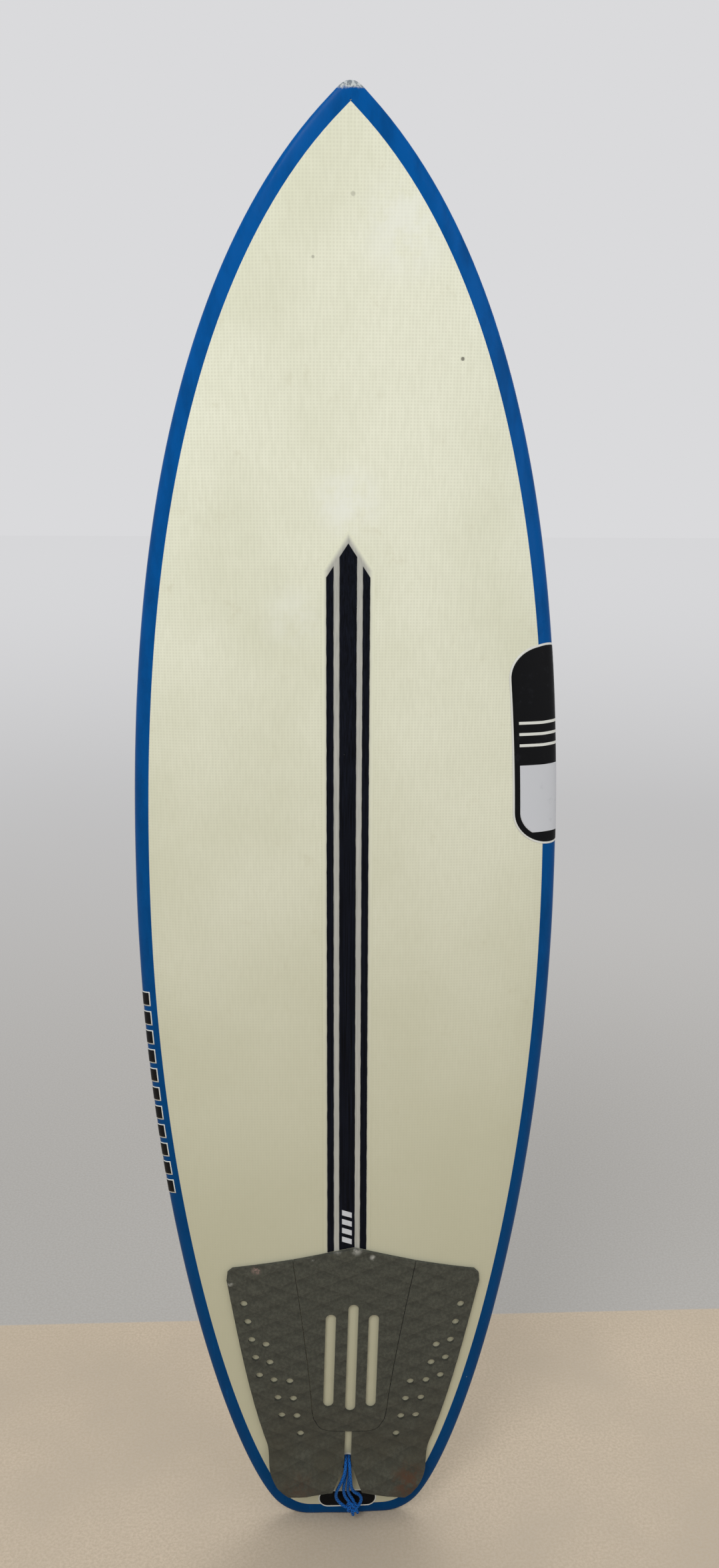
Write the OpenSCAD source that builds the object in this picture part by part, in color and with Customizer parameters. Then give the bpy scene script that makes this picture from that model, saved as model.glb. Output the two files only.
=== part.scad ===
// Shortboard surfboard: foam core, glassed deck and bottom, tinted rail band, carbon stringer
// strips, three-piece tail pad with a kick, leash plug with its string, and a three-fin set.
// The board stands on its tail: Z runs from tail to nose, the deck faces -Y, the fins point to +Y.
// The origin is the middle of the flat on the end of the tail block.

/* [Board] */
// Length from tail block to nose tip
board_length = 1676; // [1600:1:1850]
// Width at the wide point
board_width = 495; // [470:1:520]
// Thickness at mid length
board_thickness = 62; // [56:1:70]
// Thickness at the nose tip
nose_thickness = 11; // [10:0.5:16]
// Thickness at the tail end
tail_thickness = 15; // [14:0.5:20]
// Rise of the nose above the middle
nose_rocker = 113; // [90:1:140]
// Rise of the tail above the middle
tail_rocker = 54; // [40:1:65]
// Depth of the hollow in the bottom
bottom_concave = 2.5; // [0:0.5:4]

/* [Outline] */
// Straight part of the tail block
tail_block_w = 94; // [80:1:110]
// Radius of the tail block's corners
tail_corner_r = 60; // [50:1:70]
// How far the outline runs straight out of the tail corner
tail_hip = 75; // [60:1:90]
// How far the wide point carries toward the tail
tail_fullness = 451; // [400:1:470]
// How far the wide point carries toward the nose
nose_fullness = 255; // [220:1:290]
// How far the outline runs straight out of the nose
nose_run = 268; // [240:1:290]
// Angle of the outline where it leaves the nose
nose_angle = 42; // [38:1:46]
// Half width of the rounded nose tip
nose_tip_r = 20; // [18:1:24]

/* [Skin] */
// Thickness of the glass skin
skin = 1.2; // [0.8:0.1:2]
// Width of the tinted rail band on the deck and on the bottom
band_w = 18; // [14:0.5:18]
// Half height of the upright wall round the rail
rail_wall = 2.5; // [2:0.1:3]

/* [Stringer] */
// Width of the pale tape under the strips
tape_w = 58; // [52:1:64]
// Width of the middle carbon strip
center_strip_w = 19; // [16:0.5:20]
// Width of each outer carbon strip
side_strip_w = 8; // [6:0.5:9]
// Gap between the strips
strip_gap = 6.5; // [5:0.5:8]
// Height of the arrow point's tip above the tail
strip_top = 1239; // [1100:1:1300]

/* [Tail pad] */
// Length of the pad from its end to its front point
pad_length = 385; // [370:1:395]
// Thickness of the pad foam
pad_t = 4.5; // [3.5:0.5:6]
// Height of the kick under the pad
kick_h = 18; // [12:1:20]
// Turn of the pad on the deck, stuck on slightly askew
pad_skew = 1.7; // [0:0.1:2]
// Diameter of the pad's round holes
pad_hole_d = 8; // [5:0.5:9]
// Distance between the holes in a row
pad_hole_pitch = 25; // [23:0.5:26]

/* [Leash] */
// Height of the leash cup's centre above the tail end
cup_z = 80; // [78:1:81]
// Outer diameter of the leash cup
cup_d = 26.5; // [26:0.5:28]
// Inner diameter of the leash cup
cup_bore_d = 22; // [21:0.5:23]
// Diameter of the cross pin
pin_d = 4; // [3:0.5:4]
// Diameter of the leash string
string_d = 4; // [3:0.5:4]

/* [Fins] */
// Height of each fin above the board
fin_depth = 115; // [100:1:125]
// Length of each fin's base
fin_base = 112; // [105:1:116]
// Height of a fin's rear edge above the tail end, side pair
side_fin_z = 280; // [260:1:300]
// Height of the rear fin's rear edge above the tail end
center_fin_z = 104; // [104:1:110]
// Distance of each side fin from the middle, at its rear edge
side_fin_x = 142; // [130:1:145]
// Outward tilt of the side fins
fin_cant = 6; // [3:0.5:8]
// Inward turn of the side fins toward the nose
fin_toe = 2.5; // [1:0.5:4]
// Depth of the fin tab in its box
tab_h = 15; // [12:1:16]

/* [Hidden] */
$fn = 48;

// ---- curves ----
function bezier(p, t) =
    pow(1 - t, 3) * p[0] + 3 * t * pow(1 - t, 2) * p[1]
    + 3 * t * t * (1 - t) * p[2] + pow(t, 3) * p[3];
function bezier_slope(p, t) =
    3 * pow(1 - t, 2) * (p[1] - p[0]) + 6 * t * (1 - t) * (p[2] - p[1])
    + 3 * t * t * (p[3] - p[2]);
function smooth(t) = let (c = max(0, min(1, t))) c * c * (3 - 2 * c);
function unit(v) = v / norm(v);
// The left-hand normal of a direction
function inward(v) = unit([-v[1], v[0]]);

// ---- plan outline of the right half, from the tail's middle to the nose tip ----
half_w = board_width / 2;
mid_z = board_length / 2;
corner_end = [
    tail_block_w / 2 + tail_corner_r * sin(45),
    tail_corner_r * (1 - cos(45))
];
shoulder = [nose_tip_r, board_length - 0.62 * nose_tip_r];
tail_curve = [
    corner_end, corner_end + tail_hip * [sin(45), cos(45)],
    [half_w, mid_z - tail_fullness], [half_w, mid_z]
];
nose_curve = [
    [half_w, mid_z], [half_w, mid_z + nose_fullness],
    shoulder + nose_run * [cos(nose_angle), -sin(nose_angle)], shoulder
];
cap_curve = [
    shoulder, shoulder + 0.5 * nose_tip_r * [-cos(nose_angle), sin(nose_angle)],
    [0.4 * nose_tip_r, board_length], [0, board_length]
];
tail_steps = 20;
nose_steps = 21;
cap_steps = 5;
// Each entry is a point on the outline and the direction toward the middle
stations = concat(
    [for (x = [0, 1 / 3, 2 / 3]) [[x * tail_block_w / 2, 0], [0, 1]]],
    [for (a = [0:11.25:33.75])
        [[tail_block_w / 2 + tail_corner_r * sin(a), tail_corner_r * (1 - cos(a))],
         [-sin(a), cos(a)]]],
    [for (i = [0:tail_steps - 1]) let (t = pow(i / tail_steps, 1.15))
        [bezier(tail_curve, t), inward(bezier_slope(tail_curve, t))]],
    [for (i = [0:nose_steps - 1]) let (t = i / nose_steps)
        [bezier(nose_curve, t), inward(bezier_slope(nose_curve, t))]],
    [for (i = [0:cap_steps]) let (t = i / cap_steps)
        [bezier(cap_curve, t), inward(bezier_slope(cap_curve, t))]]
);
last = len(stations) - 1;

// ---- side view ----
function from_mid(z) = (z - mid_z) / mid_z;
function body(z) = 1 - pow(min(1, abs(from_mid(z))), 2);
end_apex = 5;
mid_apex = 24;
function bottom_y(z) =
    let (u = from_mid(z))
    tail_rocker + end_apex - (u > 0 ? nose_rocker * pow(u, 2.1) : tail_rocker * pow(-u, 2.2));
function apex_h(z) = end_apex + (mid_apex - end_apex) * body(z);
function apex_y(z) = bottom_y(z) - apex_h(z);
function thick(z) =
    let (end = z > mid_z ? nose_thickness : tail_thickness)
    end + (board_thickness - end) * body(z);
function deck_y(z) = bottom_y(z) - thick(z);

// ---- cross section: t runs from 0 on the outline to 1 in the middle, d is in millimetres ----
function crown(t) = pow(1 - pow(1 - max(0, min(1, t)), 3.2), 1 / 2.2);
function deck_at(z, t) =
    apex_y(z) - rail_wall - (thick(z) - apex_h(z) - rail_wall) * crown(t);
function tuck_r(z, reach) = min(reach, 12 + 26 * body(z));
function bottom_at(z, d, reach) =
    let (k = 1 - min(1, d / tuck_r(z, reach)), t = d / reach)
    apex_y(z) + rail_wall + (apex_h(z) - rail_wall) * sqrt(1 - pow(k, 2.2))
    - bottom_concave * body(z) * pow(sin(90 * max(0, (t - 0.3) / 0.7)), 2);

// ---- the grid that the foam, skins and band share ----
band_rows = [1, 0.62, 0.32, 0.12, 0.03, 0];
span_rows = [0, 0.06, 0.16, 0.35, 0.65, 1];
function band_edge(i) = stations[i][0] + band_w * stations[i][1];
function spine_z(i) =
    let (q = band_edge(i)) q[1] + 0.5 * q[0] * exp(-q[1] / 60);
function reach(i) = norm(stations[i][0] - [0, spine_z(i)]);
// A point of the outer or inner skin on the line from the band's edge to the spine
function span_point(i, s, deck, inner) =
    let (
        q = band_edge(i),
        p = q + s * ([0, spine_z(i)] - q),
        d = band_w + s * (reach(i) - band_w),
        y = deck ? deck_at(p[1], d / reach(i)) : bottom_at(p[1], d, reach(i)),
        in = inner ? (deck ? skin : -skin) : 0
    )
    [p[0], y + in, p[1]];
// A point of the outer or inner skin between the outline and the band's edge
function band_point(i, r, deck, inner) =
    let (
        q = band_edge(i),
        y_edge = deck ? deck_at(q[1], band_w / reach(i)) : bottom_at(q[1], band_w, reach(i)),
        shrink = 1 - skin / abs(y_edge - apex_y(q[1])),
        d = band_w * r,
        d_in = inner ? skin + (band_w - skin) * r : d,
        p = stations[i][0] + d_in * stations[i][1],
        base = apex_y(p[1]),
        y = deck ? deck_at(p[1], d / reach(i)) : bottom_at(p[1], d, reach(i))
    )
    [p[0], base + (y - base) * (inner ? shrink : 1), p[1]];
function rim(i, inner) = concat(
    [for (r = band_rows) band_point(i, r, true, inner)],
    [for (k = [len(band_rows) - 1:-1:0]) band_point(i, band_rows[k], false, inner)]
);
function mirrored(points) = [for (p = points) [-p[0], p[1], p[2]]];
// The full lateral line of a sheet at station i, left to right
function line_of(i, deck, inner) =
    let (right = [for (s = span_rows) span_point(i, s, deck, inner)])
    concat(mirrored(right), [for (k = [len(right) - 2:-1:0]) right[k]]);
function quad(a, b, c, d) = [[a, b, c], [a, c, d]];
function flip(faces) = [for (f = faces) [f[2], f[1], f[0]]];
function flat(lists) = [for (l = lists) for (e = l) e];

// ---- sheets: station 0 and the last one are single points ----
row_n = 2 * len(span_rows) - 1;
inner_lines = last - 1;
sheet_n = inner_lines * row_n + 2;
function sheet_points(deck, inner) = concat(
    [span_point(0, 0, deck, inner)],
    flat([for (i = [1:last - 1]) line_of(i, deck, inner)]),
    [span_point(last, 0, deck, inner)]
);
function sheet_index(i, k) =
    i == 0 ? 0 : i == last ? sheet_n - 1 : 1 + (i - 1) * row_n + k;
function sheet_faces(at) = concat(
    [for (k = [0:row_n - 2]) [at, at + sheet_index(1, k), at + sheet_index(1, k + 1)]],
    flat([for (i = [1:last - 2]) for (k = [0:row_n - 2])
        quad(at + sheet_index(i, k), at + sheet_index(i + 1, k),
             at + sheet_index(i + 1, k + 1), at + sheet_index(i, k + 1))]),
    [for (k = [0:row_n - 2])
        [at + sheet_index(last - 1, k + 1), at + sheet_index(last - 1, k), at + sheet_n - 1]]
);
// The closed wall round a laminate, between its two sheets
function wall_faces(a, b) = flat([
    for (i = [0:last - 1]) concat(
        quad(a + sheet_index(i, row_n - 1), a + sheet_index(i + 1, row_n - 1),
             b + sheet_index(i + 1, row_n - 1), b + sheet_index(i, row_n - 1)),
        quad(a + sheet_index(i + 1, 0), a + sheet_index(i, 0),
             b + sheet_index(i, 0), b + sheet_index(i + 1, 0))
    )
]);
module laminate(deck) {
    faces = concat(sheet_faces(0), flip(sheet_faces(sheet_n)), wall_faces(0, sheet_n));
    polyhedron(
        points = concat(sheet_points(deck, false), sheet_points(deck, true)),
        faces = deck ? faces : flip(faces)
    );
}

// ---- the rail band: one closed ring round the whole outline ----
rim_n = 2 * len(band_rows);
ring_n = 2 * last;
function ring_rim(j, inner) =
    j <= last ? rim(j, inner) : mirrored(rim(ring_n - j, inner));
module band_ring() {
    section = 2 * rim_n;
    points = flat([for (j = [0:ring_n - 1])
        let (inside = ring_rim(j, true))
        concat(ring_rim(j, false), [for (k = [rim_n - 1:-1:0]) inside[k]])]);
    polyhedron(
        points = points,
        faces = flat([for (j = [0:ring_n - 1]) for (k = [0:section - 1])
            let (n = (j + 1) % ring_n, m = (k + 1) % section,
                 a = j * section + k, b = n * section + k,
                 c = n * section + m, d = j * section + m)
            k < rim_n ? quad(a, b, c, d) : quad(b, c, d, a)])
    );
}

// ---- the foam: both inner sheets joined by the inner rim ----
module foam_block() {
    rim_at = 2 * sheet_n;
    free = rim_n - 2;
    rims = [for (j = [0:ring_n - 1])
        let (whole = ring_rim(j, true)) [for (k = [1:rim_n - 2]) whole[k]]];
    edge = function (j)
        j <= last ? sheet_index(j, row_n - 1) : sheet_index(ring_n - j, 0);
    at = function (j, k)
        k == 0 ? edge(j) : k == rim_n - 1 ? sheet_n + edge(j) : rim_at + j * free + k - 1;
    polyhedron(
        points = concat(sheet_points(true, true), sheet_points(false, true), flat(rims)),
        faces = concat(
            flat([for (j = [0:ring_n - 1]) for (k = [0:rim_n - 2])
                let (n = (j + 1) % ring_n)
                quad(at(j, k), at(n, k), at(n, k + 1), at(j, k + 1))]),
            flip(sheet_faces(sheet_n)), sheet_faces(0)
        )
    );
}

// ---- the deck's height at any place, for what is laid on it ----
edge_table = [for (i = [4:last - 4]) [band_edge(i)[1], band_edge(i)[0]]];
reach_table = [for (i = [4:last - 4]) [band_edge(i)[1], reach(i)]];
function deck_over(x, z) =
    let (w = lookup(z, reach_table), t = 1 - (abs(x) / lookup(z, edge_table)) * (1 - band_w / w))
    deck_at(z, t);

// ---- the outer skin as rows across the rail, for decals that lie on it ----
outline_table = [for (i = [4:last - 4]) [stations[i][0][1], stations[i][0][0]]];
rail_rows = [0.16, 0.06];
function skin_row(i) = concat(
    [for (s = rail_rows) span_point(i, s, true, false)],
    rim(i, false)
);
// The row moved off the skin by lift
function lifted(i, lift) =
    let (
        row = skin_row(i), end = len(row) - 1,
        n = [stations[i][1][0], 0, stations[i][1][1]]
    )
    [for (k = [0:end]) let (t = row[min(end, k + 1)] - row[max(0, k - 1)])
        row[k] + lift * unit(-t[1] * n + (t * n) * [0, 1, 0])];
// A thin closed patch between two grids of the same size
module patch(under, over) {
    n = len(under);
    m = len(under[0]);
    half = n * m;
    at = function (i, k) i * m + k;
    polyhedron(
        points = concat(flat(under), flat(over)),
        faces = concat(
            flat([for (i = [0:n - 2]) for (k = [0:m - 2]) concat(
                quad(at(i, k), at(i, k + 1), at(i + 1, k + 1), at(i + 1, k)),
                quad(half + at(i + 1, k), half + at(i + 1, k + 1),
                     half + at(i, k + 1), half + at(i, k)))]),
            flat([for (i = [0:n - 2]) concat(
                quad(at(i + 1, 0), half + at(i + 1, 0), half + at(i, 0), at(i, 0)),
                quad(at(i, m - 1), half + at(i, m - 1),
                     half + at(i + 1, m - 1), at(i + 1, m - 1)))]),
            flat([for (k = [0:m - 2]) concat(
                quad(at(0, k), half + at(0, k), half + at(0, k + 1), at(0, k + 1)),
                quad(at(n - 1, k + 1), half + at(n - 1, k + 1),
                     half + at(n - 1, k), at(n - 1, k)))])
        )
    );
}

// ---- core and skins ----
module foam_core() {
    color("ivory") difference() {
        foam_block();
        cup_space();
        fin_box_spaces();
    }
}
module deck_laminate() {
    color([0.83, 0.83, 0.75]) difference() {
        laminate(true);
        cup_space();
    }
}
module bottom_laminate() {
    color([0.86, 0.86, 0.8]) difference() {
        laminate(false);
        fin_box_spaces();
    }
}
module rail_band() {
    color([0.02, 0.24, 0.49]) band_ring();
}

// ---- stringer tape and carbon strips, laid on the deck along the middle ----
layer = 0.3;
strip_steps = 24;
head = 90;
tip_slope = 18.6 / 12.3;
// The pad's front edge, which the strips run up to
function strip_foot(x) =
    let (a = x - pad_shift - pad_length * sin(pad_skew))
    (pad_length - 17 / 76 * abs(a)) * cos(pad_skew) - a * sin(pad_skew) + 0.8;
// A strip from x1 to x2 that ends above in the arrow's slanted edge
module strip(x1, x2, lift, top) {
    first = 400;
    rows = concat(
        [[strip_foot(x1), strip_foot(x2)]],
        [for (i = [0:strip_steps]) let (z = first + i / strip_steps * (strip_top - head - first))
            [z, z]],
        [for (f = [0.35, 0.7, 0.99])
            [for (x = [x1, x2])
                let (rise = top - tip_slope * abs(x) - strip_top + head)
                strip_top - head + f * rise]]
    );
    under = [for (r = rows) [
        [x1, deck_y(r[0]) - lift, r[0]], [x2, deck_y(r[1]) - lift, r[1]]]];
    over = [for (r = under) [for (p = r) p - [0, layer, 0]]];
    patch(under, over);
}
module stringer_tape() {
    color([0.78, 0.78, 0.75]) {
        strip(-tape_w / 2, 0, 0.1, strip_top + 14);
        strip(0, tape_w / 2, 0.1, strip_top + 14);
    }
}
strip_lift = 0.16 + layer;
side_in = center_strip_w / 2 + strip_gap;
module carbon_strip_center() {
    color([0.07, 0.08, 0.1]) {
        strip(-center_strip_w / 2, 0, strip_lift, strip_top);
        strip(0, center_strip_w / 2, strip_lift, strip_top);
    }
}
module carbon_strip_left() {
    color([0.07, 0.08, 0.1]) strip(-side_in - side_strip_w, -side_in, strip_lift, strip_top);
}
module carbon_strip_right() {
    color([0.07, 0.08, 0.1]) strip(side_in, side_in + side_strip_w, strip_lift, strip_top);
}
// Four plain slanted bars near the strip's lower end
module strip_mark() {
    bar_w = 12;
    color([0.72, 0.72, 0.74]) for (i = [0:3]) {
        z = 394 + 12 * i;
        y = deck_y(z) - strip_lift - layer - 0.4;
        translate([0, y, z]) rotate([90, 0, 0])
            linear_extrude(height = 0.2) polygon([
                [-bar_w / 2, 0], [bar_w / 2, -4], [bar_w / 2, 3], [-bar_w / 2, 7]]);
    }
}

// ---- decals ----
decal_t = 0.3;
decal_low = 895;
decal_high = 1131;
decal_w = 80;
decal_in = 15;
// The stations between two heights, with one to spare at each end
function stations_over(z1, z2) =
    [for (i = [1:last - 1]) if (stations[i + 1][0][1] > z1 && stations[i - 1][0][1] < z2) i];
module skin_patch(which, side) {
    grid = function (lift) [for (i = which) side > 0 ? lifted(i, lift) : mirrored(lifted(i, lift))];
    patch(grid(0), grid(decal_t));
}
module plan_cut() {
    rotate([90, 0, 0]) linear_extrude(height = 200, center = true) children();
}
// A plain long pill over the right rail
module rail_decal() {
    low = [lookup(decal_low, outline_table) - decal_in, decal_low];
    high = [lookup(decal_high, outline_table) - decal_in, decal_high];
    along = unit(high - low);
    color([0.03, 0.03, 0.04]) intersection() {
        skin_patch(stations_over(decal_low, decal_high), 1);
        plan_cut() hull() {
            translate(low + decal_w / 2 * along) circle(d = decal_w);
            translate(high - decal_w / 2 * along) circle(d = decal_w);
        }
    }
}
mark_count = 11;
mark_pitch = 24.5;
mark_start = 449;
mark_in = 9;
// A row of plain slanted bars round the left rail
module rail_marks() {
    which = stations_over(mark_start, mark_start + mark_count * mark_pitch);
    color([0.03, 0.03, 0.04]) intersection() {
        skin_patch([for (k = [len(which) - 1:-1:0]) which[k]], -1);
        plan_cut() for (i = [0:mark_count - 1]) {
            z = mark_start + mark_pitch * i;
            x = mark_in - lookup(z, outline_table);
            polygon([[x, z + 4], [x, z + mark_pitch - 5], [x - 24, z + mark_pitch - 9], [x - 24, z]]);
        }
    }
}
module tail_decal() {
    w = 72;
    h = 21;
    z = 27;
    color([0.03, 0.03, 0.04])
    translate([1, deck_y(z) - 0.35, z]) rotate([90, 0, 0])
        linear_extrude(height = 0.3) hull() {
            translate([-(w - h) / 2, 0]) circle(d = h);
            translate([(w - h) / 2, 0]) circle(d = h);
        }
}

// ---- tail pad ----
pad_shift = -1.5;
pad_glue = 0.25;
kick_front = 110;
kick_full = 55;
pad_end = 46;
slot_half = 4.4;
notch_top = 88;
notch_half = 19;
function kick_at(b) = kick_h * smooth((kick_front - b) / (kick_front - kick_full));
module on_pad() {
    translate([pad_shift, 0, 0]) rotate([0, pad_skew, 0]) children();
}
// Place of a pad point on the board
function pad_xz(a, b) = [
    pad_shift + a * cos(pad_skew) + b * sin(pad_skew),
    b * cos(pad_skew) - a * sin(pad_skew)
];
function pad_point(a, b, lift) =
    let (q = pad_xz(a, b))
    [q[0], deck_over(q[0], q[1]) - pad_glue - lift, q[1]];
// The half outline of the pad, from its front point round to the slot
pad_side = concat(
    [[0, pad_length], [76, pad_length - 17], [151, pad_length - 31], [157, pad_length - 37],
     [158, pad_length - 47]],
    [for (t = [0.15:0.17:1])
        bezier([[158, pad_length - 47], [142, 255], [128, 180], [105, 113]], t)],
    [for (t = [0.2:0.2:0.81])
        bezier([[105, 113], [98, 96], [103, 82], [96, 70]], t)],
    [[96, 70], [90, 60], [82, 51], [74, pad_end], [52, pad_end + 2], [notch_half, pad_end + 8]]
);
seam_top = pad_length - 17;
function seam_a(b) = 46 + 30 * pow(max(0, (b - 146) / (seam_top - 146)), 1.25);
seam_half = 0.8;
center_foot = 128;
module pad_plan() {
    polygon(concat(
        [[slot_half, notch_top], [slot_half, center_foot], [0, center_foot + 20]],
        pad_side
    ));
}
// The middle panel's plan, right half plus left half
center_right = concat(
    [for (t = [0:0.2:0.81])
        bezier([[0, center_foot], [22, center_foot + 1], [34, 128], [40, 138]], t)],
    [for (b = [138:33:seam_top]) [seam_a(b) - (b < 146 ? 6 : 0), b]],
    [[seam_a(seam_top), seam_top]]
);
module center_plan(grow) {
    right = center_right;
    offset(delta = grow) polygon(concat(
        right, [[0, pad_length]],
        [for (k = [len(right) - 1:-1:1]) [-right[k][0], right[k][1]]]
    ));
}
module stadium(x, z1, z2, w) {
    translate([x, z1]) circle(d = w);
    translate([x, z2]) circle(d = w);
    translate([x - w / 2, z1]) square([w, z2 - z1]);
}
// The foam between two heights over the deck, on a grid wider than the panels
module pad_slab(side_lines, rows, low, high) {
    grid = function (f) [for (b = rows) [for (a = side_lines) pad_point(a, b, f(b))]];
    patch(grid(low), grid(high));
}
kick_rows = [for (i = [0:10]) 40 + 6.5 * i];
panel_rows = concat(kick_rows, [for (i = [0:12]) kick_front + i / 12 * (pad_length - kick_front)]);
panel_lines = [for (i = [0:8]) 2 + 161 * i / 8];
function lines_on(side) =
    side > 0 ? panel_lines : [for (k = [8:-1:0]) -panel_lines[k]];
module cut_to_plan() {
    rotate([90, 0, 0]) linear_extrude(height = 120, center = true) on_pad_flat() children();
}
module on_pad_flat() {
    translate([pad_shift, 0]) rotate(-pad_skew) children();
}
module side_panel(side) {
    panel_hole = pad_hole_d / 2;
    color([0.27, 0.27, 0.23]) intersection() {
        pad_slab(lines_on(side), panel_rows, function (b) kick_at(b), function (b) kick_at(b) + pad_t);
        cut_to_plan() difference() {
            mirror([side < 0 ? 1 : 0, 0]) pad_plan();
            center_plan(2 * seam_half);
            for (k = [0:4]) {
                translate([side * (136 - 5.3 * k), 306 - pad_hole_pitch * k]) circle(panel_hole);
                translate([side * (107.5 - 5.5 * k), 250 - pad_hole_pitch * k])
                    circle(panel_hole);
            }
            for (k = [0:3])
                translate([side * (76.5 - 5.1 * k), 199 - pad_hole_pitch * k])
                    circle(panel_hole);
        }
    }
}
module pad_left() side_panel(-1);
module pad_right() side_panel(1);
module pad_center() {
    slot_w = 13;
    color([0.27, 0.27, 0.23]) intersection() {
        pad_slab([for (i = [0:8]) 22.5 * (i - 4)], [for (i = [0:13]) 115 + 21 * i],
            function (b) 0, function (b) pad_t);
        cut_to_plan() difference() {
            center_plan(0);
            stadium(1, 162, 302, slot_w);
            for (s = [-1, 1]) stadium(s * 27, 168, 288, slot_w);
        }
    }
}
module kick(side) {
    color([0.24, 0.24, 0.21]) intersection() {
        pad_slab(lines_on(side), kick_rows,
            function (b) 0, function (b) kick_at(b) - 0.05);
        cut_to_plan() mirror([side < 0 ? 1 : 0, 0]) pad_plan();
    }
}
module kick_left() kick(-1);
module kick_right() kick(1);

// ---- leash plug and string ----
cup_x = 1;
cup_depth = 15;
cup_floor = 1.5;
cup_top = deck_y(cup_z) + 0.25;
pin_y = cup_top + 5;
module along_y(y) {
    translate([cup_x, y, cup_z]) rotate([-90, 0, 0]) children();
}
module cup_space() {
    along_y(cup_top - 6) cylinder(d = cup_d, h = cup_depth + 6);
}
module pin_shape(d, length) {
    translate([cup_x, pin_y, cup_z]) rotate([0, 90, 0])
        cylinder(d = d, h = length, center = true);
}
module leash_cup() {
    color([0.9, 0.9, 0.87]) difference() {
        along_y(cup_top) cylinder(d = cup_d, h = cup_depth);
        along_y(cup_top - 1) cylinder(d = cup_bore_d, h = cup_depth - cup_floor + 1);
        pin_shape(pin_d, cup_d + 2);
    }
}
module leash_pin() {
    color("silver") pin_shape(pin_d, cup_d - 1.5);
}
// Each loop goes from the knot up over the tail, round under the pin and back to the knot
knot_at = [6.5, -19.5, 22];
left_loop = [
    [2.5, -19, 20], [-3, -18, 22.5], [-8, -17.5, 26.5], [-12.5, -18, 33], [-14, -20, 41],
    [-12.8, -22.5, 50], [-9.5, -24.5, 59.5], [-5.8, -25.5, 69], [-3, -24.5, 78],
    [-1.6, -20.5, 85], [-1.3, -13, 88], [-1.2, -4, 88], [-1.2, 1.5, 85.5], [-1.2, 4, 80],
    [-1.2, 1.5, 74.5], [-1.2, -4, 72], [-1.3, -11, 72], [-1.6, -17, 69.5],
    [-2.6, -20.5, 63.5], [-3.8, -20.5, 55], [-4, -19, 46], [-2, -18.5, 37.5],
    [2, -18.5, 31], [5, -19, 26.5]
];
right_loop = [
    [9, -20, 20], [13.5, -19.5, 22.5], [17.5, -18.5, 28], [18.5, -18.5, 34.5], [15.5, -19.5, 41],
    [10, -21, 46], [6.8, -23, 52.5], [5.2, -25, 60.5], [4.6, -25.5, 69], [3.9, -24.5, 78],
    [3.4, -20.5, 85], [3.2, -13, 88], [3.2, -4, 88], [3.2, 1.5, 85.5], [3.2, 4, 80],
    [3.2, 1.5, 74.5], [3.2, -4, 72], [3.2, -11, 72], [3, -17, 69.5], [2.4, -20, 63.5],
    [1.6, -19.8, 55], [1.4, -18, 46.5], [3.4, -16.5, 38.5], [7, -16.5, 32], [9.8, -17.5, 27]
];
tube_sides = 8;
function tangent(path, i) =
    unit(path[min(len(path) - 1, i + 1)] - path[max(0, i - 1)]);
// A side direction that turns with the path and never lies along it
function side_of(t) = unit(cross(t, abs(t[0]) > 0.9 ? [0, 0, 1] : [1, 0, 0]));
function carried(path, i, prev) =
    let (t = tangent(path, i)) unit(prev - (prev * t) * t);
function frames(path, i = 0, prev = undef) =
    i >= len(path) ? []
    : let (s = i == 0 ? side_of(tangent(path, 0)) : carried(path, i, prev))
    concat([s], frames(path, i + 1, s));
module tube(path, d) {
    sides = frames(path);
    n = len(path);
    rings = [for (i = [0:n - 1])
        let (t = tangent(path, i), u = sides[i], v = cross(t, u))
        for (k = [0:tube_sides - 1]) let (a = 360 * k / tube_sides)
            path[i] + d / 2 * (cos(a) * u + sin(a) * v)];
    polyhedron(
        points = rings,
        faces = concat(
            [[for (k = [0:tube_sides - 1]) k]],
            flat([for (i = [0:n - 2]) for (k = [0:tube_sides - 1])
                let (m = (k + 1) % tube_sides, a = i * tube_sides)
                quad(a + m, a + k, a + tube_sides + k, a + tube_sides + m)]),
            [[for (k = [tube_sides - 1:-1:0]) (n - 1) * tube_sides + k]]
        )
    );
}
module leash_string_left() {
    color([0.02, 0.2, 0.5]) tube(left_loop, string_d);
}
module leash_string_right() {
    color([0.02, 0.2, 0.5]) tube(right_loop, string_d);
}
module leash_knot() {
    color([0.02, 0.18, 0.46]) translate(knot_at) sphere(r = 8.5);
}

// ---- fins, boxes and screws ----
box_l = 130;
box_w = 17;
box_h = 19;
box_rim = 0.3;
slot_l = 115;
slot_w = 6.4;
tab_l = 114.4;
tab_w = 6;
screw_d = 5;
// Moves a fin's own frame to its place: X across, Y out of the board, Z toward the nose
module fin_frame(side) {
    x = side == 0 ? 0 : side * side_fin_x;
    z = side == 0 ? center_fin_z : side_fin_z;
    zc = z + fin_base / 2;
    y = side == 0 ? bottom_y(zc) - bottom_concave * body(zc) * 0.95
        : bottom_y(zc) - bottom_concave * body(zc) * 0.12;
    slope = -atan(bottom_y(zc + 0.5) - bottom_y(zc - 0.5));
    xc = side == 0 ? 0 : x - side * fin_base / 2 * sin(fin_toe);
    translate([xc, y, zc]) rotate([slope, 0, 0])
        rotate([0, -side * fin_toe, 0]) rotate([0, 0, -side * fin_cant]) children();
}
module bar(length, width, low, high) {
    translate([0, high, 0]) rotate([90, 0, 0]) linear_extrude(height = high - low) {
        stadium(0, -(length - width) / 2, (length - width) / 2, width);
    }
}
module fin_box_space(side) {
    fin_frame(side) bar(box_l, box_w, -box_h, 6);
}
module fin_box_spaces() {
    for (side = [-1, 0, 1]) fin_box_space(side);
}
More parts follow.
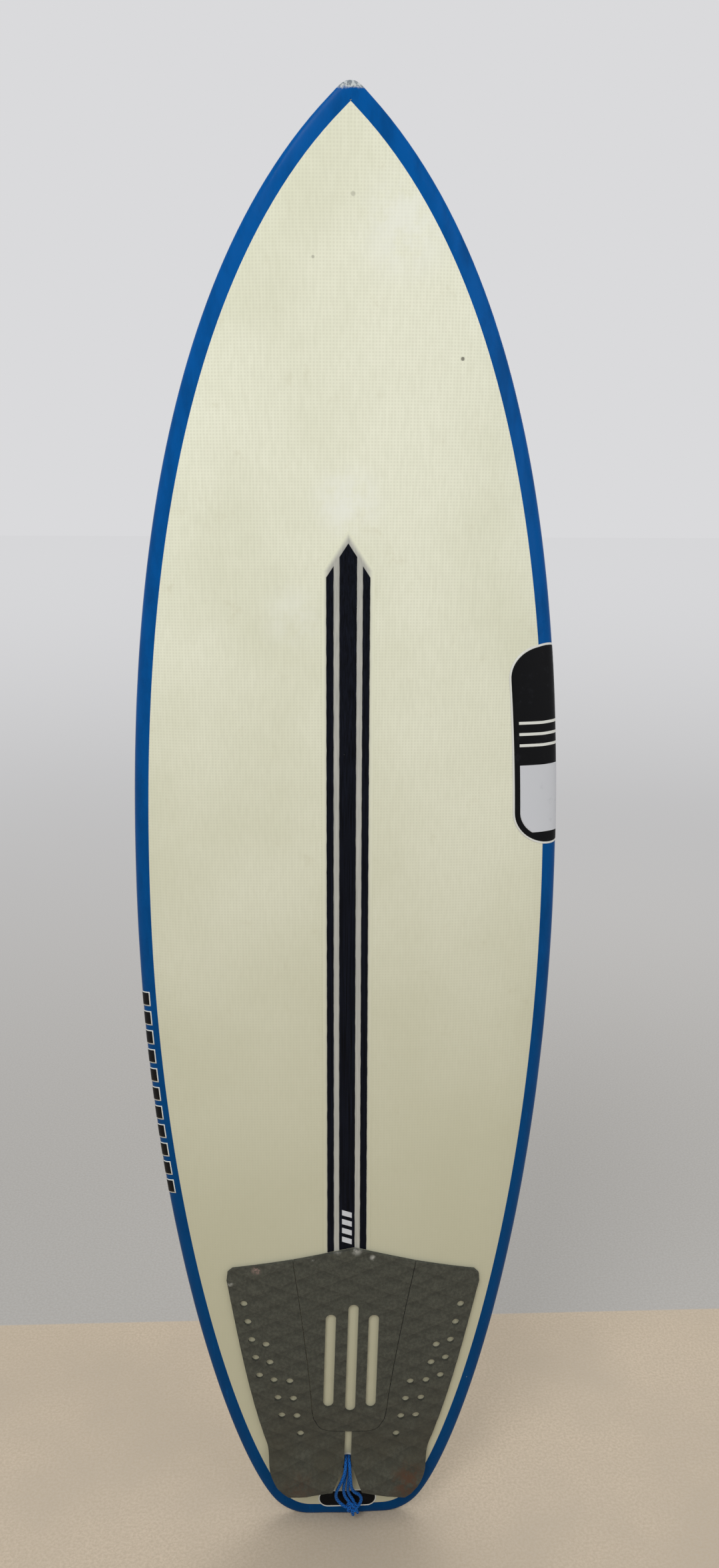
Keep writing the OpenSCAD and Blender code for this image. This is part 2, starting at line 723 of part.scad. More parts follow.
module fin_box(side) {
    color([0.92, 0.92, 0.9]) fin_frame(side) difference() {
        bar(box_l, box_w, -box_h, box_rim);
        translate([-slot_w / 2, -tab_h - 1, -slot_l / 2]) cube([slot_w, tab_h + 2, slot_l]);
        screw_bores(screw_d, 3);
    }
}
module fin_box_left() fin_box(-1);
module fin_box_right() fin_box(1);
module fin_box_center() fin_box(0);
// Two screw bores per box: they come in from the face beside the slot at a slant
module screw_bores(d, extra) {
    for (z = [-34, 34]) translate([-tab_w / 2 - 2.9, -1.2, z]) rotate([90, 0, 0])
        translate([0, 0, -extra]) cylinder(d = d - 0.6, h = 7 + extra);
}
module fin_screws(side) {
    color("silver") fin_frame(side) for (z = [-34, 34])
        translate([-tab_w / 2 - 2.9, -1.2, z]) rotate([90, 0, 0]) difference() {
            cylinder(d = screw_d - 0.6, h = 7);
            translate([0, 0, -1]) cylinder(d = 2.5, h = 3, $fn = 6);
        }
}
module fin_screws_left() fin_screws(-1);
module fin_screws_right() fin_screws(1);
module fin_screws_center() fin_screws(0);
blade_steps = 12;
foil_steps = 8;
// Front and rear edges of the blade at height f from base to tip
function blade_front(f) = fin_base / 2 - (fin_base + 18) * pow(f, 1.7);
function blade_rear(f) =
    -fin_base / 2 + 8 * sin(180 * min(1, f * 1.3)) - 20 * pow(f, 2.2);
function foil_half(c, t) = t * sqrt(c) * (1 - c) * 1.3 * 2;
module fin(side) {
    foil = concat(
        [for (k = [0:foil_steps]) let (c = pow(k / foil_steps, 1.5)) [c, 1]],
        [for (k = [foil_steps - 1:-1:1]) let (c = pow(k / foil_steps, 1.5)) [c, -1]]
    );
    n = len(foil);
    points = [for (i = [0:blade_steps])
        let (
            f = 1 - pow(1 - i / blade_steps, 1.6),
            front = blade_front(f), rear = blade_rear(f), chord = max(3, front - rear),
            half_t = max(0.5, 3.2 * (1 - 0.75 * f))
        )
        for (p = foil)
            [p[1] * (0.3 + foil_half(p[0], half_t)),
             box_rim + 0.4 + f * fin_depth, front - p[0] * chord]];
    color([0.1, 0.11, 0.13]) fin_frame(side) {
        polyhedron(points = points, faces = concat(
            [[for (k = [0:n - 1]) k]],
            flat([for (i = [0:blade_steps - 1]) for (k = [0:n - 1])
                let (m = (k + 1) % n, a = i * n)
                quad(a + m, a + k, a + n + k, a + n + m)]),
            [[for (k = [n - 1:-1:0]) blade_steps * n + k]]
        ));
        translate([-tab_w / 2, -tab_h, -tab_l / 2])
            cube([tab_w, tab_h + box_rim + 0.6, tab_l]);
    }
}
module fin_left() fin(-1);
module fin_right() fin(1);
module fin_center() fin(0);

foam_core();
deck_laminate();
bottom_laminate();
rail_band();
stringer_tape();
carbon_strip_center();
carbon_strip_left();
carbon_strip_right();
strip_mark();
rail_decal();
rail_marks();
tail_decal();
pad_center();
pad_left();
pad_right();
kick_left();
kick_right();
leash_cup();
leash_pin();
leash_string_left();
leash_string_right();
leash_knot();
fin_box_left();
fin_box_right();
fin_box_center();
fin_left();
fin_right();
fin_center();
fin_screws_left();
fin_screws_right();
fin_screws_center();
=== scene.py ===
"""Looks of the shortboard surfboard. Lengths are millimetres unless a name or comment says metres."""

from math import atan, cos, exp, pi, radians, sin, sqrt

import bmesh
import bpy
import numpy as np
from mathutils import Matrix, Vector


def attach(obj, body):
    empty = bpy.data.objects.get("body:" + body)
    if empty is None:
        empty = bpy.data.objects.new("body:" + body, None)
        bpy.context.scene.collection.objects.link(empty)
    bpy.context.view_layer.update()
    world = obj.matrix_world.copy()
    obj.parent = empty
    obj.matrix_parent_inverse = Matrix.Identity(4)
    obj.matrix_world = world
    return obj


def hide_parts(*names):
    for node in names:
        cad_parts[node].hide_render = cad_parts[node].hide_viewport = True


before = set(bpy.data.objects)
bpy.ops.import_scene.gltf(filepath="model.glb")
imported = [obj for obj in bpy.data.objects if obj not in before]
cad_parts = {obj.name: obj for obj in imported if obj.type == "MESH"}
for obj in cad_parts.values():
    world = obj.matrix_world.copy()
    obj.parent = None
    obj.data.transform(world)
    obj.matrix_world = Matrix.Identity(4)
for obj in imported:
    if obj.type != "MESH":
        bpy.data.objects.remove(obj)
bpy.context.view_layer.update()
MM = 0.001

# ---------------------------------------------------------------- sizes shared with the CAD part
LENGTH, MID = 1676, 838
HALF_W, THICKNESS = 247.5, 62
BLOCK_HALF, CORNER_R = 47, 60
NOSE_TIP_R, NOSE_ANGLE, NOSE_RUN = 20, radians(42), 268
TAIL_HIP, TAIL_FULLNESS, NOSE_FULLNESS = 75, 451, 255
NOSE_ROCKER, TAIL_ROCKER = 113, 54
NOSE_THICKNESS, TAIL_THICKNESS = 11, 15
END_APEX, MID_APEX = 5, 24
CONCAVE = 2.5
BAND_W = 18
WALL = 2.5
PAD_L, PAD_T, KICK_H = 385, 4.5, 18
PAD_SHIFT, PAD_SKEW = -1.5, radians(1.7)
PAD_GLUE = 0.25
SCALE_W, SCALE_H, SCALE_DEPTH = 57, 23, 1.0
HOLE_R, SEAM = 4.8, 1.0
STRIP_TOP = 1239
CENTER_W, SIDE_W, STRIP_GAP, TAPE_W = 19, 8, 6.5, 58
FIN_BASE, FIN_DEPTH = 112, 115
CENTER_FIN_Z, SIDE_FIN_Z, SIDE_FIN_X = 104, 280, 142
FIN_TOE, FIN_CANT = radians(2.5), radians(6)
TAB_L, TAB_W, TAB_H = 114.4, 6, 15
CUP = (1, 80, 26.5)
FLOOR_SEAM = 0.386  # metres behind the board


# ---------------------------------------------------------------- small geometry helpers
def bezier(p, t):
    a, b, c, d = (np.array(q, float) for q in p)
    return (1 - t) ** 3 * a + 3 * t * (1 - t) ** 2 * b + 3 * t * t * (1 - t) * c + t**3 * d


def bezier_slope(p, t):
    a, b, c, d = (np.array(q, float) for q in p)
    return 3 * (1 - t) ** 2 * (b - a) + 6 * t * (1 - t) * (c - b) + 3 * t * t * (d - c)


def unit(v):
    return np.array(v, float) / np.linalg.norm(v)


def smooth(t):
    c = max(0.0, min(1.0, t))
    return c * c * (3 - 2 * c)


def inward(v):
    return unit([-v[1], v[0]])


def make(name, points, faces, material, body="board", slot=None, replaces=(), shade=True):
    """A mesh piece from points in millimetres, welded and closed up, that rides on a body."""
    mesh = bpy.data.meshes.new(name)
    mesh.from_pydata([[c * MM for c in p] for p in points], [], faces)
    build = bmesh.new()
    build.from_mesh(mesh)
    bmesh.ops.remove_doubles(build, verts=build.verts, dist=2e-6)
    bmesh.ops.dissolve_degenerate(build, edges=build.edges, dist=1e-7)
    bmesh.ops.recalc_face_normals(build, faces=build.faces)
    build.to_mesh(mesh)
    build.free()
    piece = bpy.data.objects.new(name, mesh)
    bpy.context.scene.collection.objects.link(piece)
    for m in material if isinstance(material, list) else [material]:
        mesh.materials.append(m)
    if shade:
        mesh.shade_smooth()
    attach(piece, body)
    if replaces:
        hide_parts(*replaces)
    return piece


def grid(rows, cols, at=0):
    return [
        (at + i * cols + k, at + i * cols + k + 1, at + (i + 1) * cols + k + 1, at + (i + 1) * cols + k)
        for i in range(rows - 1)
        for k in range(cols - 1)
    ]


def slab(under, over, at=0):
    """Points and faces of the closed sheet between two grids of the same size."""
    rows, cols = len(under), len(under[0])
    half = rows * cols
    points = [p for sheet in (under, over) for row in sheet for p in row]
    faces = grid(rows, cols, at) + [f[::-1] for f in grid(rows, cols, at + half)]
    edge = (
        [(0, k) for k in range(cols)]
        + [(i, cols - 1) for i in range(1, rows)]
        + [(rows - 1, k) for k in range(cols - 2, -1, -1)]
        + [(i, 0) for i in range(rows - 2, 0, -1)]
    )
    for (i, k), (j, m) in zip(edge, edge[1:] + edge[:1]):
        a, b = at + i * cols + k, at + j * cols + m
        faces.append((b, a, a + half, b + half))
    return points, faces


def cut(piece, cutter, operation):
    """Applies a boolean with another object, which is then removed."""
    modifier = piece.modifiers.new("cut", "BOOLEAN")
    modifier.object, modifier.operation, modifier.solver = cutter, operation, "MANIFOLD"
    bpy.context.view_layer.update()
    shaped = piece.evaluated_get(bpy.context.evaluated_depsgraph_get())
    old, piece.data = piece.data, bpy.data.meshes.new_from_object(shaped)
    piece.modifiers.clear()
    bpy.data.meshes.remove(old)
    bpy.data.objects.remove(cutter)
    return piece


def smooth_faces(piece, sharp=40):
    """Smooth shading, broken at edges sharper than an angle."""
    piece.data.shade_smooth()
    piece.data.set_sharp_from_angle(angle=radians(sharp))


def bevel(piece, width, segments=2, angle=50):
    modifier = piece.modifiers.new("bevel", "BEVEL")
    modifier.width, modifier.segments = width * MM, segments
    modifier.limit_method, modifier.angle_limit = "ANGLE", radians(angle)
    modifier.harden_normals = True
    return piece


# ---------------------------------------------------------------- the board's shape, as in part.scad
corner_end = np.array([BLOCK_HALF + CORNER_R * sin(pi / 4), CORNER_R * (1 - cos(pi / 4))])
shoulder = np.array([NOSE_TIP_R, LENGTH - 0.62 * NOSE_TIP_R])
nose_way = np.array([cos(NOSE_ANGLE), -sin(NOSE_ANGLE)])
hip = corner_end + TAIL_HIP * np.array([sin(pi / 4), cos(pi / 4)])
TAIL_CURVE = [corner_end, hip, (HALF_W, MID - TAIL_FULLNESS), (HALF_W, MID)]
NOSE_CURVE = [(HALF_W, MID), (HALF_W, MID + NOSE_FULLNESS), shoulder + NOSE_RUN * nose_way, shoulder]
CAP_CURVE = [shoulder, shoulder - 0.5 * NOSE_TIP_R * nose_way, (0.4 * NOSE_TIP_R, LENGTH), (0, LENGTH)]


def outline_stations():
    """Points on the right half of the outline, each with its direction toward the middle."""
    found = [((x, 0), (0, 1)) for x in np.linspace(0, BLOCK_HALF, 9)[:-1]]
    for a in np.radians(np.arange(0, 45, 5)):
        found.append(((BLOCK_HALF + CORNER_R * sin(a), CORNER_R * (1 - cos(a))), (-sin(a), cos(a))))
    for curve, ts in (
        (TAIL_CURVE, (np.arange(60) / 60) ** 1.15),
        (NOSE_CURVE, np.arange(60) / 60),
        (CAP_CURVE, np.arange(17) / 16),
    ):
        found += [(bezier(curve, t), inward(bezier_slope(curve, t))) for t in ts]
    return [(np.array(p, float), np.array(n, float)) for p, n in found]


STATIONS = outline_stations()


def body_share(z):
    return 1 - min(1, abs((z - MID) / MID)) ** 2


def bottom_y(z):
    u = (z - MID) / MID
    return TAIL_ROCKER + END_APEX - (NOSE_ROCKER * u**2.1 if u > 0 else TAIL_ROCKER * (-u) ** 2.2)


def apex_h(z):
    return END_APEX + (MID_APEX - END_APEX) * body_share(z)


def apex_y(z):
    return bottom_y(z) - apex_h(z)


def thick(z):
    end = NOSE_THICKNESS if z > MID else TAIL_THICKNESS
    return end + (THICKNESS - end) * body_share(z)


def deck_at(z, t):
    crown = (1 - (1 - max(0, min(1, t))) ** 3.2) ** (1 / 2.2)
    return apex_y(z) - WALL - (thick(z) - apex_h(z) - WALL) * crown


def bottom_at(z, d, reach):
    tuck = min(reach, 12 + 26 * body_share(z))
    k, t = 1 - min(1, d / tuck), d / reach
    hollow = CONCAVE * body_share(z) * sin(pi / 2 * max(0, (t - 0.3) / 0.7)) ** 2
    return apex_y(z) + WALL + (apex_h(z) - WALL) * sqrt(max(0, 1 - k**2.2)) - hollow


def band_edge(station):
    return station[0] + BAND_W * station[1]


def spine(station):
    q = band_edge(station)
    return np.array([0, q[1] + 0.5 * q[0] * exp(-q[1] / 60)])


def reach_of(station):
    return float(np.linalg.norm(station[0] - spine(station)))


def skin_point(station, d, deck, inset=0.0):
    """The skin at d inward of the outline, along the line from the outline to the spine."""
    q, reach = band_edge(station), reach_of(station)
    if d <= BAND_W:
        p = station[0] + d * station[1]
    else:
        p = q + (d - BAND_W) / (reach - BAND_W) * (spine(station) - q)
    y = deck_at(p[1], d / reach) if deck else bottom_at(p[1], d, reach)
    return [p[0], y + (inset if deck else -inset), p[1]]


SIDE_STATIONS = STATIONS[8:-16]
SIDE_Z = np.array([s[0][1] for s in SIDE_STATIONS])
SIDE_X = np.array([s[0][0] for s in SIDE_STATIONS])
SIDE_WAY = np.array([s[1] for s in SIDE_STATIONS])
EDGE_Z = np.array([band_edge(s)[1] for s in SIDE_STATIONS])
EDGE_X = np.array([band_edge(s)[0] for s in SIDE_STATIONS])
EDGE_REACH = np.array([reach_of(s) for s in SIDE_STATIONS])


def station_at(z):
    """The outline's point and inward direction at a height."""
    way = [np.interp(z, SIDE_Z, SIDE_WAY[:, k]) for k in (0, 1)]
    return np.array([np.interp(z, SIDE_Z, SIDE_X), z]), unit(way)


def deck_over(x, z):
    reach = np.interp(z, EDGE_Z, EDGE_REACH)
    edge = np.interp(z, EDGE_Z, EDGE_X)
    return deck_at(z, 1 - abs(x) / edge * (1 - BAND_W / reach))


# ---------------------------------------------------------------- materials
def srgb(r, g, b):
    """A colour from its 0 to 255 screen values."""
    def linear(c):
        c = c / 255
        return c / 12.92 if c <= 0.04045 else ((c + 0.055) / 1.055) ** 2.4

    return (linear(r), linear(g), linear(b), 1)


class Look:
    """A Principled material with short calls for the nodes that feed it."""

    def __init__(self, name, **values):
        self.material = bpy.data.materials.new(name)
        self.material.use_nodes = True
        self.tree = self.material.node_tree
        self.shader = self.tree.nodes["Principled BSDF"]
        for socket, value in values.items():
            self.shader.inputs[socket.replace("_", " ")].default_value = value
        self.place = self.node("ShaderNodeTexCoord").outputs["Object"]

    def node(self, kind, links=(), **settings):
        made = self.tree.nodes.new(kind)
        for key, value in settings.items():
            setattr(made, key, value)
        for socket, value in dict(links).items():
            if isinstance(value, bpy.types.NodeSocket):
                self.tree.links.new(value, made.inputs[socket])
            else:
                made.inputs[socket].default_value = value
        return made

    def math(self, operation, *values):
        return self.node("ShaderNodeMath", enumerate(values), operation=operation).outputs[0]

    def axis(self, which, place=None):
        split = self.node("ShaderNodeSeparateXYZ", {0: place or self.place})
        return split.outputs[which]

    def stretch(self, x, y, z, place=None):
        """The place scaled by x, y and z, for patterns counted per metre."""
        return self.node("ShaderNodeMapping", {"Vector": place or self.place, "Scale": (x, y, z)}).outputs[0]

    def noise(self, scale, detail=3, rough=0.5, place=None):
        links = {"Vector": place or self.place, "Scale": scale, "Detail": detail, "Roughness": rough}
        return self.node("ShaderNodeTexNoise", links).outputs["Fac"]

    def cells(self, scale, place=None, feature="F1", what="Distance"):
        links = {"Vector": place or self.place, "Scale": scale}
        return self.node("ShaderNodeTexVoronoi", links, feature=feature).outputs[what]

    def wave(self, turns, place_value, phase=0.0):
        """A sine of a length in metres, 0 to 1, with so many turns per metre."""
        angle = self.math("MULTIPLY_ADD", place_value, turns * 2 * pi, phase)
        return self.math("MULTIPLY_ADD", self.math("SINE", angle), 0.5, 0.5)

    def span(self, value, low, high, to_low=0.0, to_high=1.0):
        links = {"Value": value, "From Min": low, "From Max": high, "To Min": to_low, "To Max": to_high}
        return self.node("ShaderNodeMapRange", links, interpolation_type="SMOOTHSTEP").outputs[0]

    def near(self, x, z, radius, soft=0.5):
        """1 inside a round spot on the deck, 0 outside; sizes in metres."""
        off_x = self.math("SUBTRACT", self.axis(0), x)
        off_z = self.math("SUBTRACT", self.axis(2), z)
        far = self.math("SQRT", self.math("ADD", self.math("POWER", off_x, 2), self.math("POWER", off_z, 2)))
        return self.span(far, radius * (1 - soft), radius, 1, 0)

    def mix(self, share, a, b):
        made = self.node("ShaderNodeMix", data_type="RGBA")
        for socket, value in ((0, share), (6, a), (7, b)):
            if isinstance(value, bpy.types.NodeSocket):
                self.tree.links.new(value, made.inputs[socket])
            else:
                made.inputs[socket].default_value = value
        return made.outputs[2]

    def bump(self, height, distance, strength=1.0, onto=None):
        links = {"Height": height, "Distance": distance * MM, "Strength": strength}
        if onto:
            links["Normal"] = onto
        return self.node("ShaderNodeBump", links).outputs[0]

    def done(self, color=None, roughness=None, normal=None):
        for socket, value in (("Base Color", color), ("Roughness", roughness), ("Normal", normal)):
            if isinstance(value, bpy.types.NodeSocket):
                self.tree.links.new(value, self.shader.inputs[socket])
            elif value is not None:
                self.shader.inputs[socket].default_value = value
        return self.material


def weave(look, pitch):
    """Height of a plain glass cloth with threads pitch millimetres apart."""
    turns = 1000 / pitch / 2
    warp = look.wave(turns, look.axis(0))
    weft = look.wave(turns, look.axis(2))
    both = look.math("MULTIPLY", look.math("SUBTRACT", warp, 0.5), look.math("SUBTRACT", weft, 0.5))
    uneven = look.noise(1, 2, place=look.stretch(300, 60, 60))
    lines = look.math("MULTIPLY_ADD", look.math("ADD", warp, weft), 0.25, look.math("MULTIPLY", both, 0.5))
    return look.math("MULTIPLY_ADD", uneven, 0.6, lines)


def glassed(name, light, dark, stained):
    look = Look(name, Coat_Weight=0.15, Coat_Roughness=0.22, IOR=1.5, Specular_IOR_Level=0.3)
    cloth = weave(look, 1.7)
    cloud = look.span(look.noise(5, 4), 0.35, 0.7)
    color = look.mix(cloud, light, dark)
    color = look.mix(look.span(cloth, 0.3, 0.85, 0, 0.32), color, srgb(190, 191, 166))
    dirt = look.math("MULTIPLY", look.span(look.noise(38, 5, 0.7), 0.58, 0.78), 0.25)
    color = look.mix(dirt, color, stained)
    fleck = look.span(look.cells(95), 0.0, 0.035, 0.6, 0)
    rare = look.span(look.noise(23, 1), 0.6, 0.64)
    color = look.mix(look.math("MULTIPLY", fleck, rare), color, srgb(96, 88, 70))
    return look, color, cloth


def deck_look():
    look, color, cloth = glassed("deck_glass", srgb(231, 233, 213), srgb(219, 221, 198), srgb(186, 180, 148))
    # Painted shade: the deck is painted darker toward the tail, standing in for light that falls from above.
    low = look.span(look.axis(2), 0.1, 1.35, 0.95, 0)
    color = look.mix(low, color, srgb(182, 179, 152))
    ragged = look.span(look.noise(34, 4, 0.7), 0.3, 0.6)
    for x, z, radius, share in ((0, 1.282, 0.05, 0.6), (0.055, 1.55, 0.07, 0.5), (-0.06, 1.16, 0.05, 0.3)):
        patch = look.math("MULTIPLY", look.near(x, z, radius, 0.9), ragged)
        color = look.mix(look.math("MULTIPLY", patch, share), color, srgb(233, 236, 228))
    marks = ((0.118, 1.427, 0.0026, 0.8), (-0.037, 1.521, 0.002, 0.4), (0.003, 1.578, 0.003, 0.3))
    for x, z, radius, share in marks:
        color = look.mix(look.math("MULTIPLY", look.near(x, z, radius), share), color, srgb(74, 70, 60))
    rough = look.span(look.noise(30, 3), 0.3, 0.7, 0.36, 0.5)
    return look.done(color, rough, look.bump(cloth, 0.08, 0.6))


def bottom_look():
    light, dark, stained = srgb(226, 225, 206), srgb(214, 213, 192), srgb(178, 170, 140)
    look, color, cloth = glassed("bottom_glass", light, dark, stained)
    scuff = look.span(look.noise(1, 4, 0.7, place=look.stretch(160, 160, 9)), 0.6, 0.75, 0, 0.3)
    color = look.mix(scuff, color, srgb(190, 186, 168))
    rough = look.span(look.noise(30, 3), 0.3, 0.7, 0.24, 0.4)
    return look.done(color, rough, look.bump(cloth, 0.05, 0.5))


def rail_look():
    look = Look("rail_resin", Coat_Weight=0.03, Coat_Roughness=0.1, IOR=1.5, Specular_IOR_Level=0.04)
    # Painted light and shade: the blue is painted lighter toward the nose and darker toward the tail, for
    # light that falls from above.
    up = look.span(look.axis(2), 0.1, 1.62)
    color = look.mix(up, srgb(0, 61, 110), srgb(0, 82, 154))
    swirl = look.span(look.noise(1, 5, 0.65, place=look.stretch(40, 40, 14)), 0.38, 0.68, 0, 0.4)
    color = look.mix(swirl, color, srgb(0, 51, 98))
    sanded = look.span(look.noise(1, 3, 0.6, place=look.stretch(200, 200, 26)), 0.6, 0.78, 0, 0.18)
    color = look.mix(sanded, color, srgb(6, 98, 172))
    ragged = look.math("MULTIPLY_ADD", look.noise(260, 3), 0.005, look.axis(2))
    worn = look.span(ragged, 1.6705, 1.673)
    patchy = look.span(look.noise(420, 3, 0.6), 0.4, 0.62)
    color = look.mix(worn, color, look.mix(patchy, srgb(120, 128, 134), srgb(190, 196, 196)))
    chips = look.span(look.cells(60), 0.0, 0.045, 0.8, 0)
    some = look.span(look.noise(14, 2), 0.6, 0.64)
    color = look.mix(look.math("MULTIPLY", chips, some), color, srgb(205, 208, 200))
    rough = look.span(look.noise(26, 4), 0.35, 0.7, 0.2, 0.36)
    return look.done(color, rough, look.bump(look.noise(120, 3), 0.03, 0.3))


def tape_look():
    look = Look("stringer_tape", Coat_Weight=0.25, Coat_Roughness=0.25)
    fibre = look.noise(1, 3, 0.6, place=look.stretch(900, 900, 14))
    color = look.mix(look.span(fibre, 0.3, 0.7), srgb(158, 159, 152), srgb(178, 178, 170))
    waver = look.math("MULTIPLY", look.noise(45, 3), 0.002)
    away = look.math("ADD", look.math("ABSOLUTE", look.axis(0)), waver)
    fade = look.span(away, 0.021, 0.029)
    top = look.math("MULTIPLY_ADD", look.math("ABSOLUTE", look.axis(0)), 1.512, look.axis(2))
    fade = look.math("MAXIMUM", fade, look.span(top, 1.241, 1.252))
    # Painted shade: the deck colour the tape fades into is painted darker toward the tail, as on the deck, for
    # light from above.
    low = look.span(look.axis(2), 0.1, 1.35, 0.95, 0)
    color = look.mix(fade, color, look.mix(low, srgb(224, 226, 204), srgb(182, 179, 152)))
    return look.done(color, 0.42, look.bump(weave(look, 1.7), 0.06, 0.5))


def carbon_look():
    look = Look("carbon_strip", Coat_Weight=0.02, Coat_Roughness=0.2, Specular_IOR_Level=0.06)
    fibre = look.noise(1, 4, 0.7, place=look.stretch(1500, 1500, 10))
    color = look.mix(look.span(fibre, 0.35, 0.7), srgb(3, 4, 8), srgb(20, 24, 36))
    fleck = look.span(look.cells(150), 0.0, 0.05, 0.7, 0)
    rare = look.span(look.noise(50, 1), 0.62, 0.66)
    color = look.mix(look.math("MULTIPLY", fleck, rare), color, srgb(150, 152, 150))
    return look.done(color, look.span(fibre, 0.3, 0.7, 0.3, 0.45), look.bump(fibre, 0.12, 0.6))


def print_look(name, ink, worn, rough=0.35):
    """Ink that is a little rubbed away."""
    look = Look(name, Coat_Weight=0.02, Coat_Roughness=0.15, Specular_IOR_Level=0.08)
    rubbed = look.span(look.noise(70, 5, 0.7), 0.56, 0.74, 0, 0.35)
    color = look.mix(rubbed, ink, worn)
    grain = look.noise(700, 2)
    return look.done(color, look.span(grain, 0.3, 0.7, rough, rough + 0.12), look.bump(grain, 0.03, 0.4))


def scales(look):
    """How deep a place on the pad lies in the moulded scales, from 0 to 1, as pad_scale in the mesh."""
    a = look.math("ABSOLUTE", look.math("SUBTRACT", look.axis(0), PAD_SHIFT * MM))
    a = look.math("MULTIPLY", a, SCALE_H / SCALE_W)
    depths = []
    for operation in ("ADD", "SUBTRACT"):
        turn = look.math("DIVIDE", look.math(operation, look.axis(2), a), SCALE_H * MM)
        depths.append(look.span(look.math("FRACT", turn), 0.35, 1.0))
    return look.math("MULTIPLY", look.math("ADD", *depths), 0.5)


def pad_look(name, base, dusty, stains, scale_shade=True):
    """Closed-cell deck foam: fine open pores, dirt that gathers toward the tail, and painted shade in the
    hollows of the scales.
    """
    look = Look(name, Sheen_Weight=0.08, Sheen_Roughness=0.6, Specular_IOR_Level=0.15)
    pores = look.cells(900)
    mottle = look.noise(240, 4, 0.7)
    color = look.mix(look.span(mottle, 0.35, 0.7), base, dusty)
    color = look.mix(look.span(pores, 0.0, 0.35, 0.45, 0), color, srgb(28, 28, 24))
    low = look.span(look.axis(2), 0.06, 0.26, 0.6, 0)
    cloud = look.span(look.noise(22, 4, 0.65), 0.35, 0.65, 0.25, 1)
    color = look.mix(look.math("MULTIPLY", low, cloud), color, srgb(62, 58, 45))
    # Painted shade: the hollows of the moulded scales are painted darker, where shade falls in them.
    if scale_shade:
        color = look.mix(look.math("MULTIPLY", scales(look), 0.42), color, srgb(34, 34, 29))
    for x, z, radius, tint, share in stains:
        ragged = look.span(look.noise(90, 4, 0.7), 0.4, 0.6)
        spot = look.math("MULTIPLY", look.near(x, z, radius, 0.9), ragged)
        color = look.mix(look.math("MULTIPLY", spot, share), color, tint)
    height = look.math("ADD", mottle, look.math("MULTIPLY", pores, 0.6))
    return look.done(color, look.span(mottle, 0.3, 0.7, 0.78, 0.95), look.bump(height, 0.35, 0.7))


def cord_look():
    """A braid: two families of strands that cross along the cord, over its own length map."""
    look = Look("cord_braid", Sheen_Weight=0.05, Sheen_Roughness=0.5, Specular_IOR_Level=0.12)
    uv = look.node("ShaderNodeUVMap").outputs[0]
    round_, along = look.axis(0, uv), look.axis(1, uv)
    lines = []
    for way in (4, -4):
        turn = look.math("MULTIPLY_ADD", round_, way, look.math("MULTIPLY", along, 1 / 0.0045))
        lines.append(look.wave(1, turn))
    strands = look.math("MAXIMUM", *lines)
    fuzz = look.noise(2200, 2)
    # The braid's strands, with painted shade: the gaps between the strands are painted darker, where shade
    # falls between them.
    color = look.mix(look.span(strands, 0.3, 0.95), srgb(2, 34, 84), srgb(10, 92, 172))
    color = look.mix(look.span(fuzz, 0.4, 0.7, 0, 0.25), color, srgb(46, 112, 180))
    height = look.math("ADD", strands, look.math("MULTIPLY", fuzz, 0.35))
    return look.done(color, 0.72, look.bump(height, 0.3, 0.9))


def plastic_look(name, base, dark, rough, grain_size=900):
    look = Look(name, Specular_IOR_Level=0.45)
    grain = look.noise(grain_size, 3)
    cloud = look.span(look.noise(60, 4, 0.6), 0.4, 0.7, 0, 0.6)
    color = look.mix(cloud, base, dark)
    return look.done(color, look.span(grain, 0.3, 0.7, rough, rough + 0.15), look.bump(grain, 0.06, 0.5))


def steel_look():
    look = Look("steel_brushed", Metallic=1.0, Anisotropic=0.4)
    lines = look.noise(1, 3, 0.7, place=look.stretch(300, 5000, 5000))
    color = look.mix(look.span(lines, 0.3, 0.7), srgb(140, 141, 143), srgb(196, 197, 199))
    return look.done(color, look.span(lines, 0.3, 0.7, 0.25, 0.42), look.bump(lines, 0.03, 0.5))


def fin_look():
    """Moulded fibre composite: dark, with a fine chopped-strand figure under the gloss."""
    look = Look("fin_composite", Coat_Weight=0.4, Coat_Roughness=0.12)
    strands = look.noise(1, 4, 0.7, place=look.stretch(200, 700, 160))
    color = look.mix(look.span(strands, 0.35, 0.7), srgb(22, 24, 28), srgb(50, 53, 60))
    scratch = look.span(look.noise(1, 2, 0.5, place=look.stretch(60, 60, 900)), 0.66, 0.72, 0, 0.4)
    color = look.mix(scratch, color, srgb(92, 95, 100))
    return look.done(color, look.span(strands, 0.3, 0.7, 0.26, 0.42), look.bump(strands, 0.05, 0.5))


def foam_look():
    look = Look("core_foam", Specular_IOR_Level=0.2)
    beads = look.cells(320)
    color = look.mix(look.span(beads, 0.0, 0.5), srgb(240, 238, 226), srgb(214, 210, 192))
    return look.done(color, 0.85, look.bump(beads, 0.4, 0.8))


# ---------------------------------------------------------------- hull
SPAN = [(k / 22) ** 1.5 for k in range(23)]
RIM = [BAND_W * sin(pi / 2 * k / 14) ** 2 for k in range(14, -1, -1)]
SKIN = 0.9


def sheet_rows(deck, inset):
    """One row of points for each station, from the left band edge over the spine to the right."""
    rows = []
    for station in STATIONS:
        reach = reach_of(station)
        right = [skin_point(station, BAND_W + s * (reach - BAND_W), deck, inset) for s in SPAN]
        rows.append([[-x, y, z] for x, y, z in right] + right[-2::-1])
    return rows


def hull_skin(name, deck, material, slot, node, cutters):
    points, faces = slab(sheet_rows(deck, 0), sheet_rows(deck, SKIN))
    piece = make(name, points, faces, material, slot=slot, replaces=[node])
    for cutter in cutters:
        cut(piece, cutter, "DIFFERENCE")
    smooth_faces(piece)
    return piece


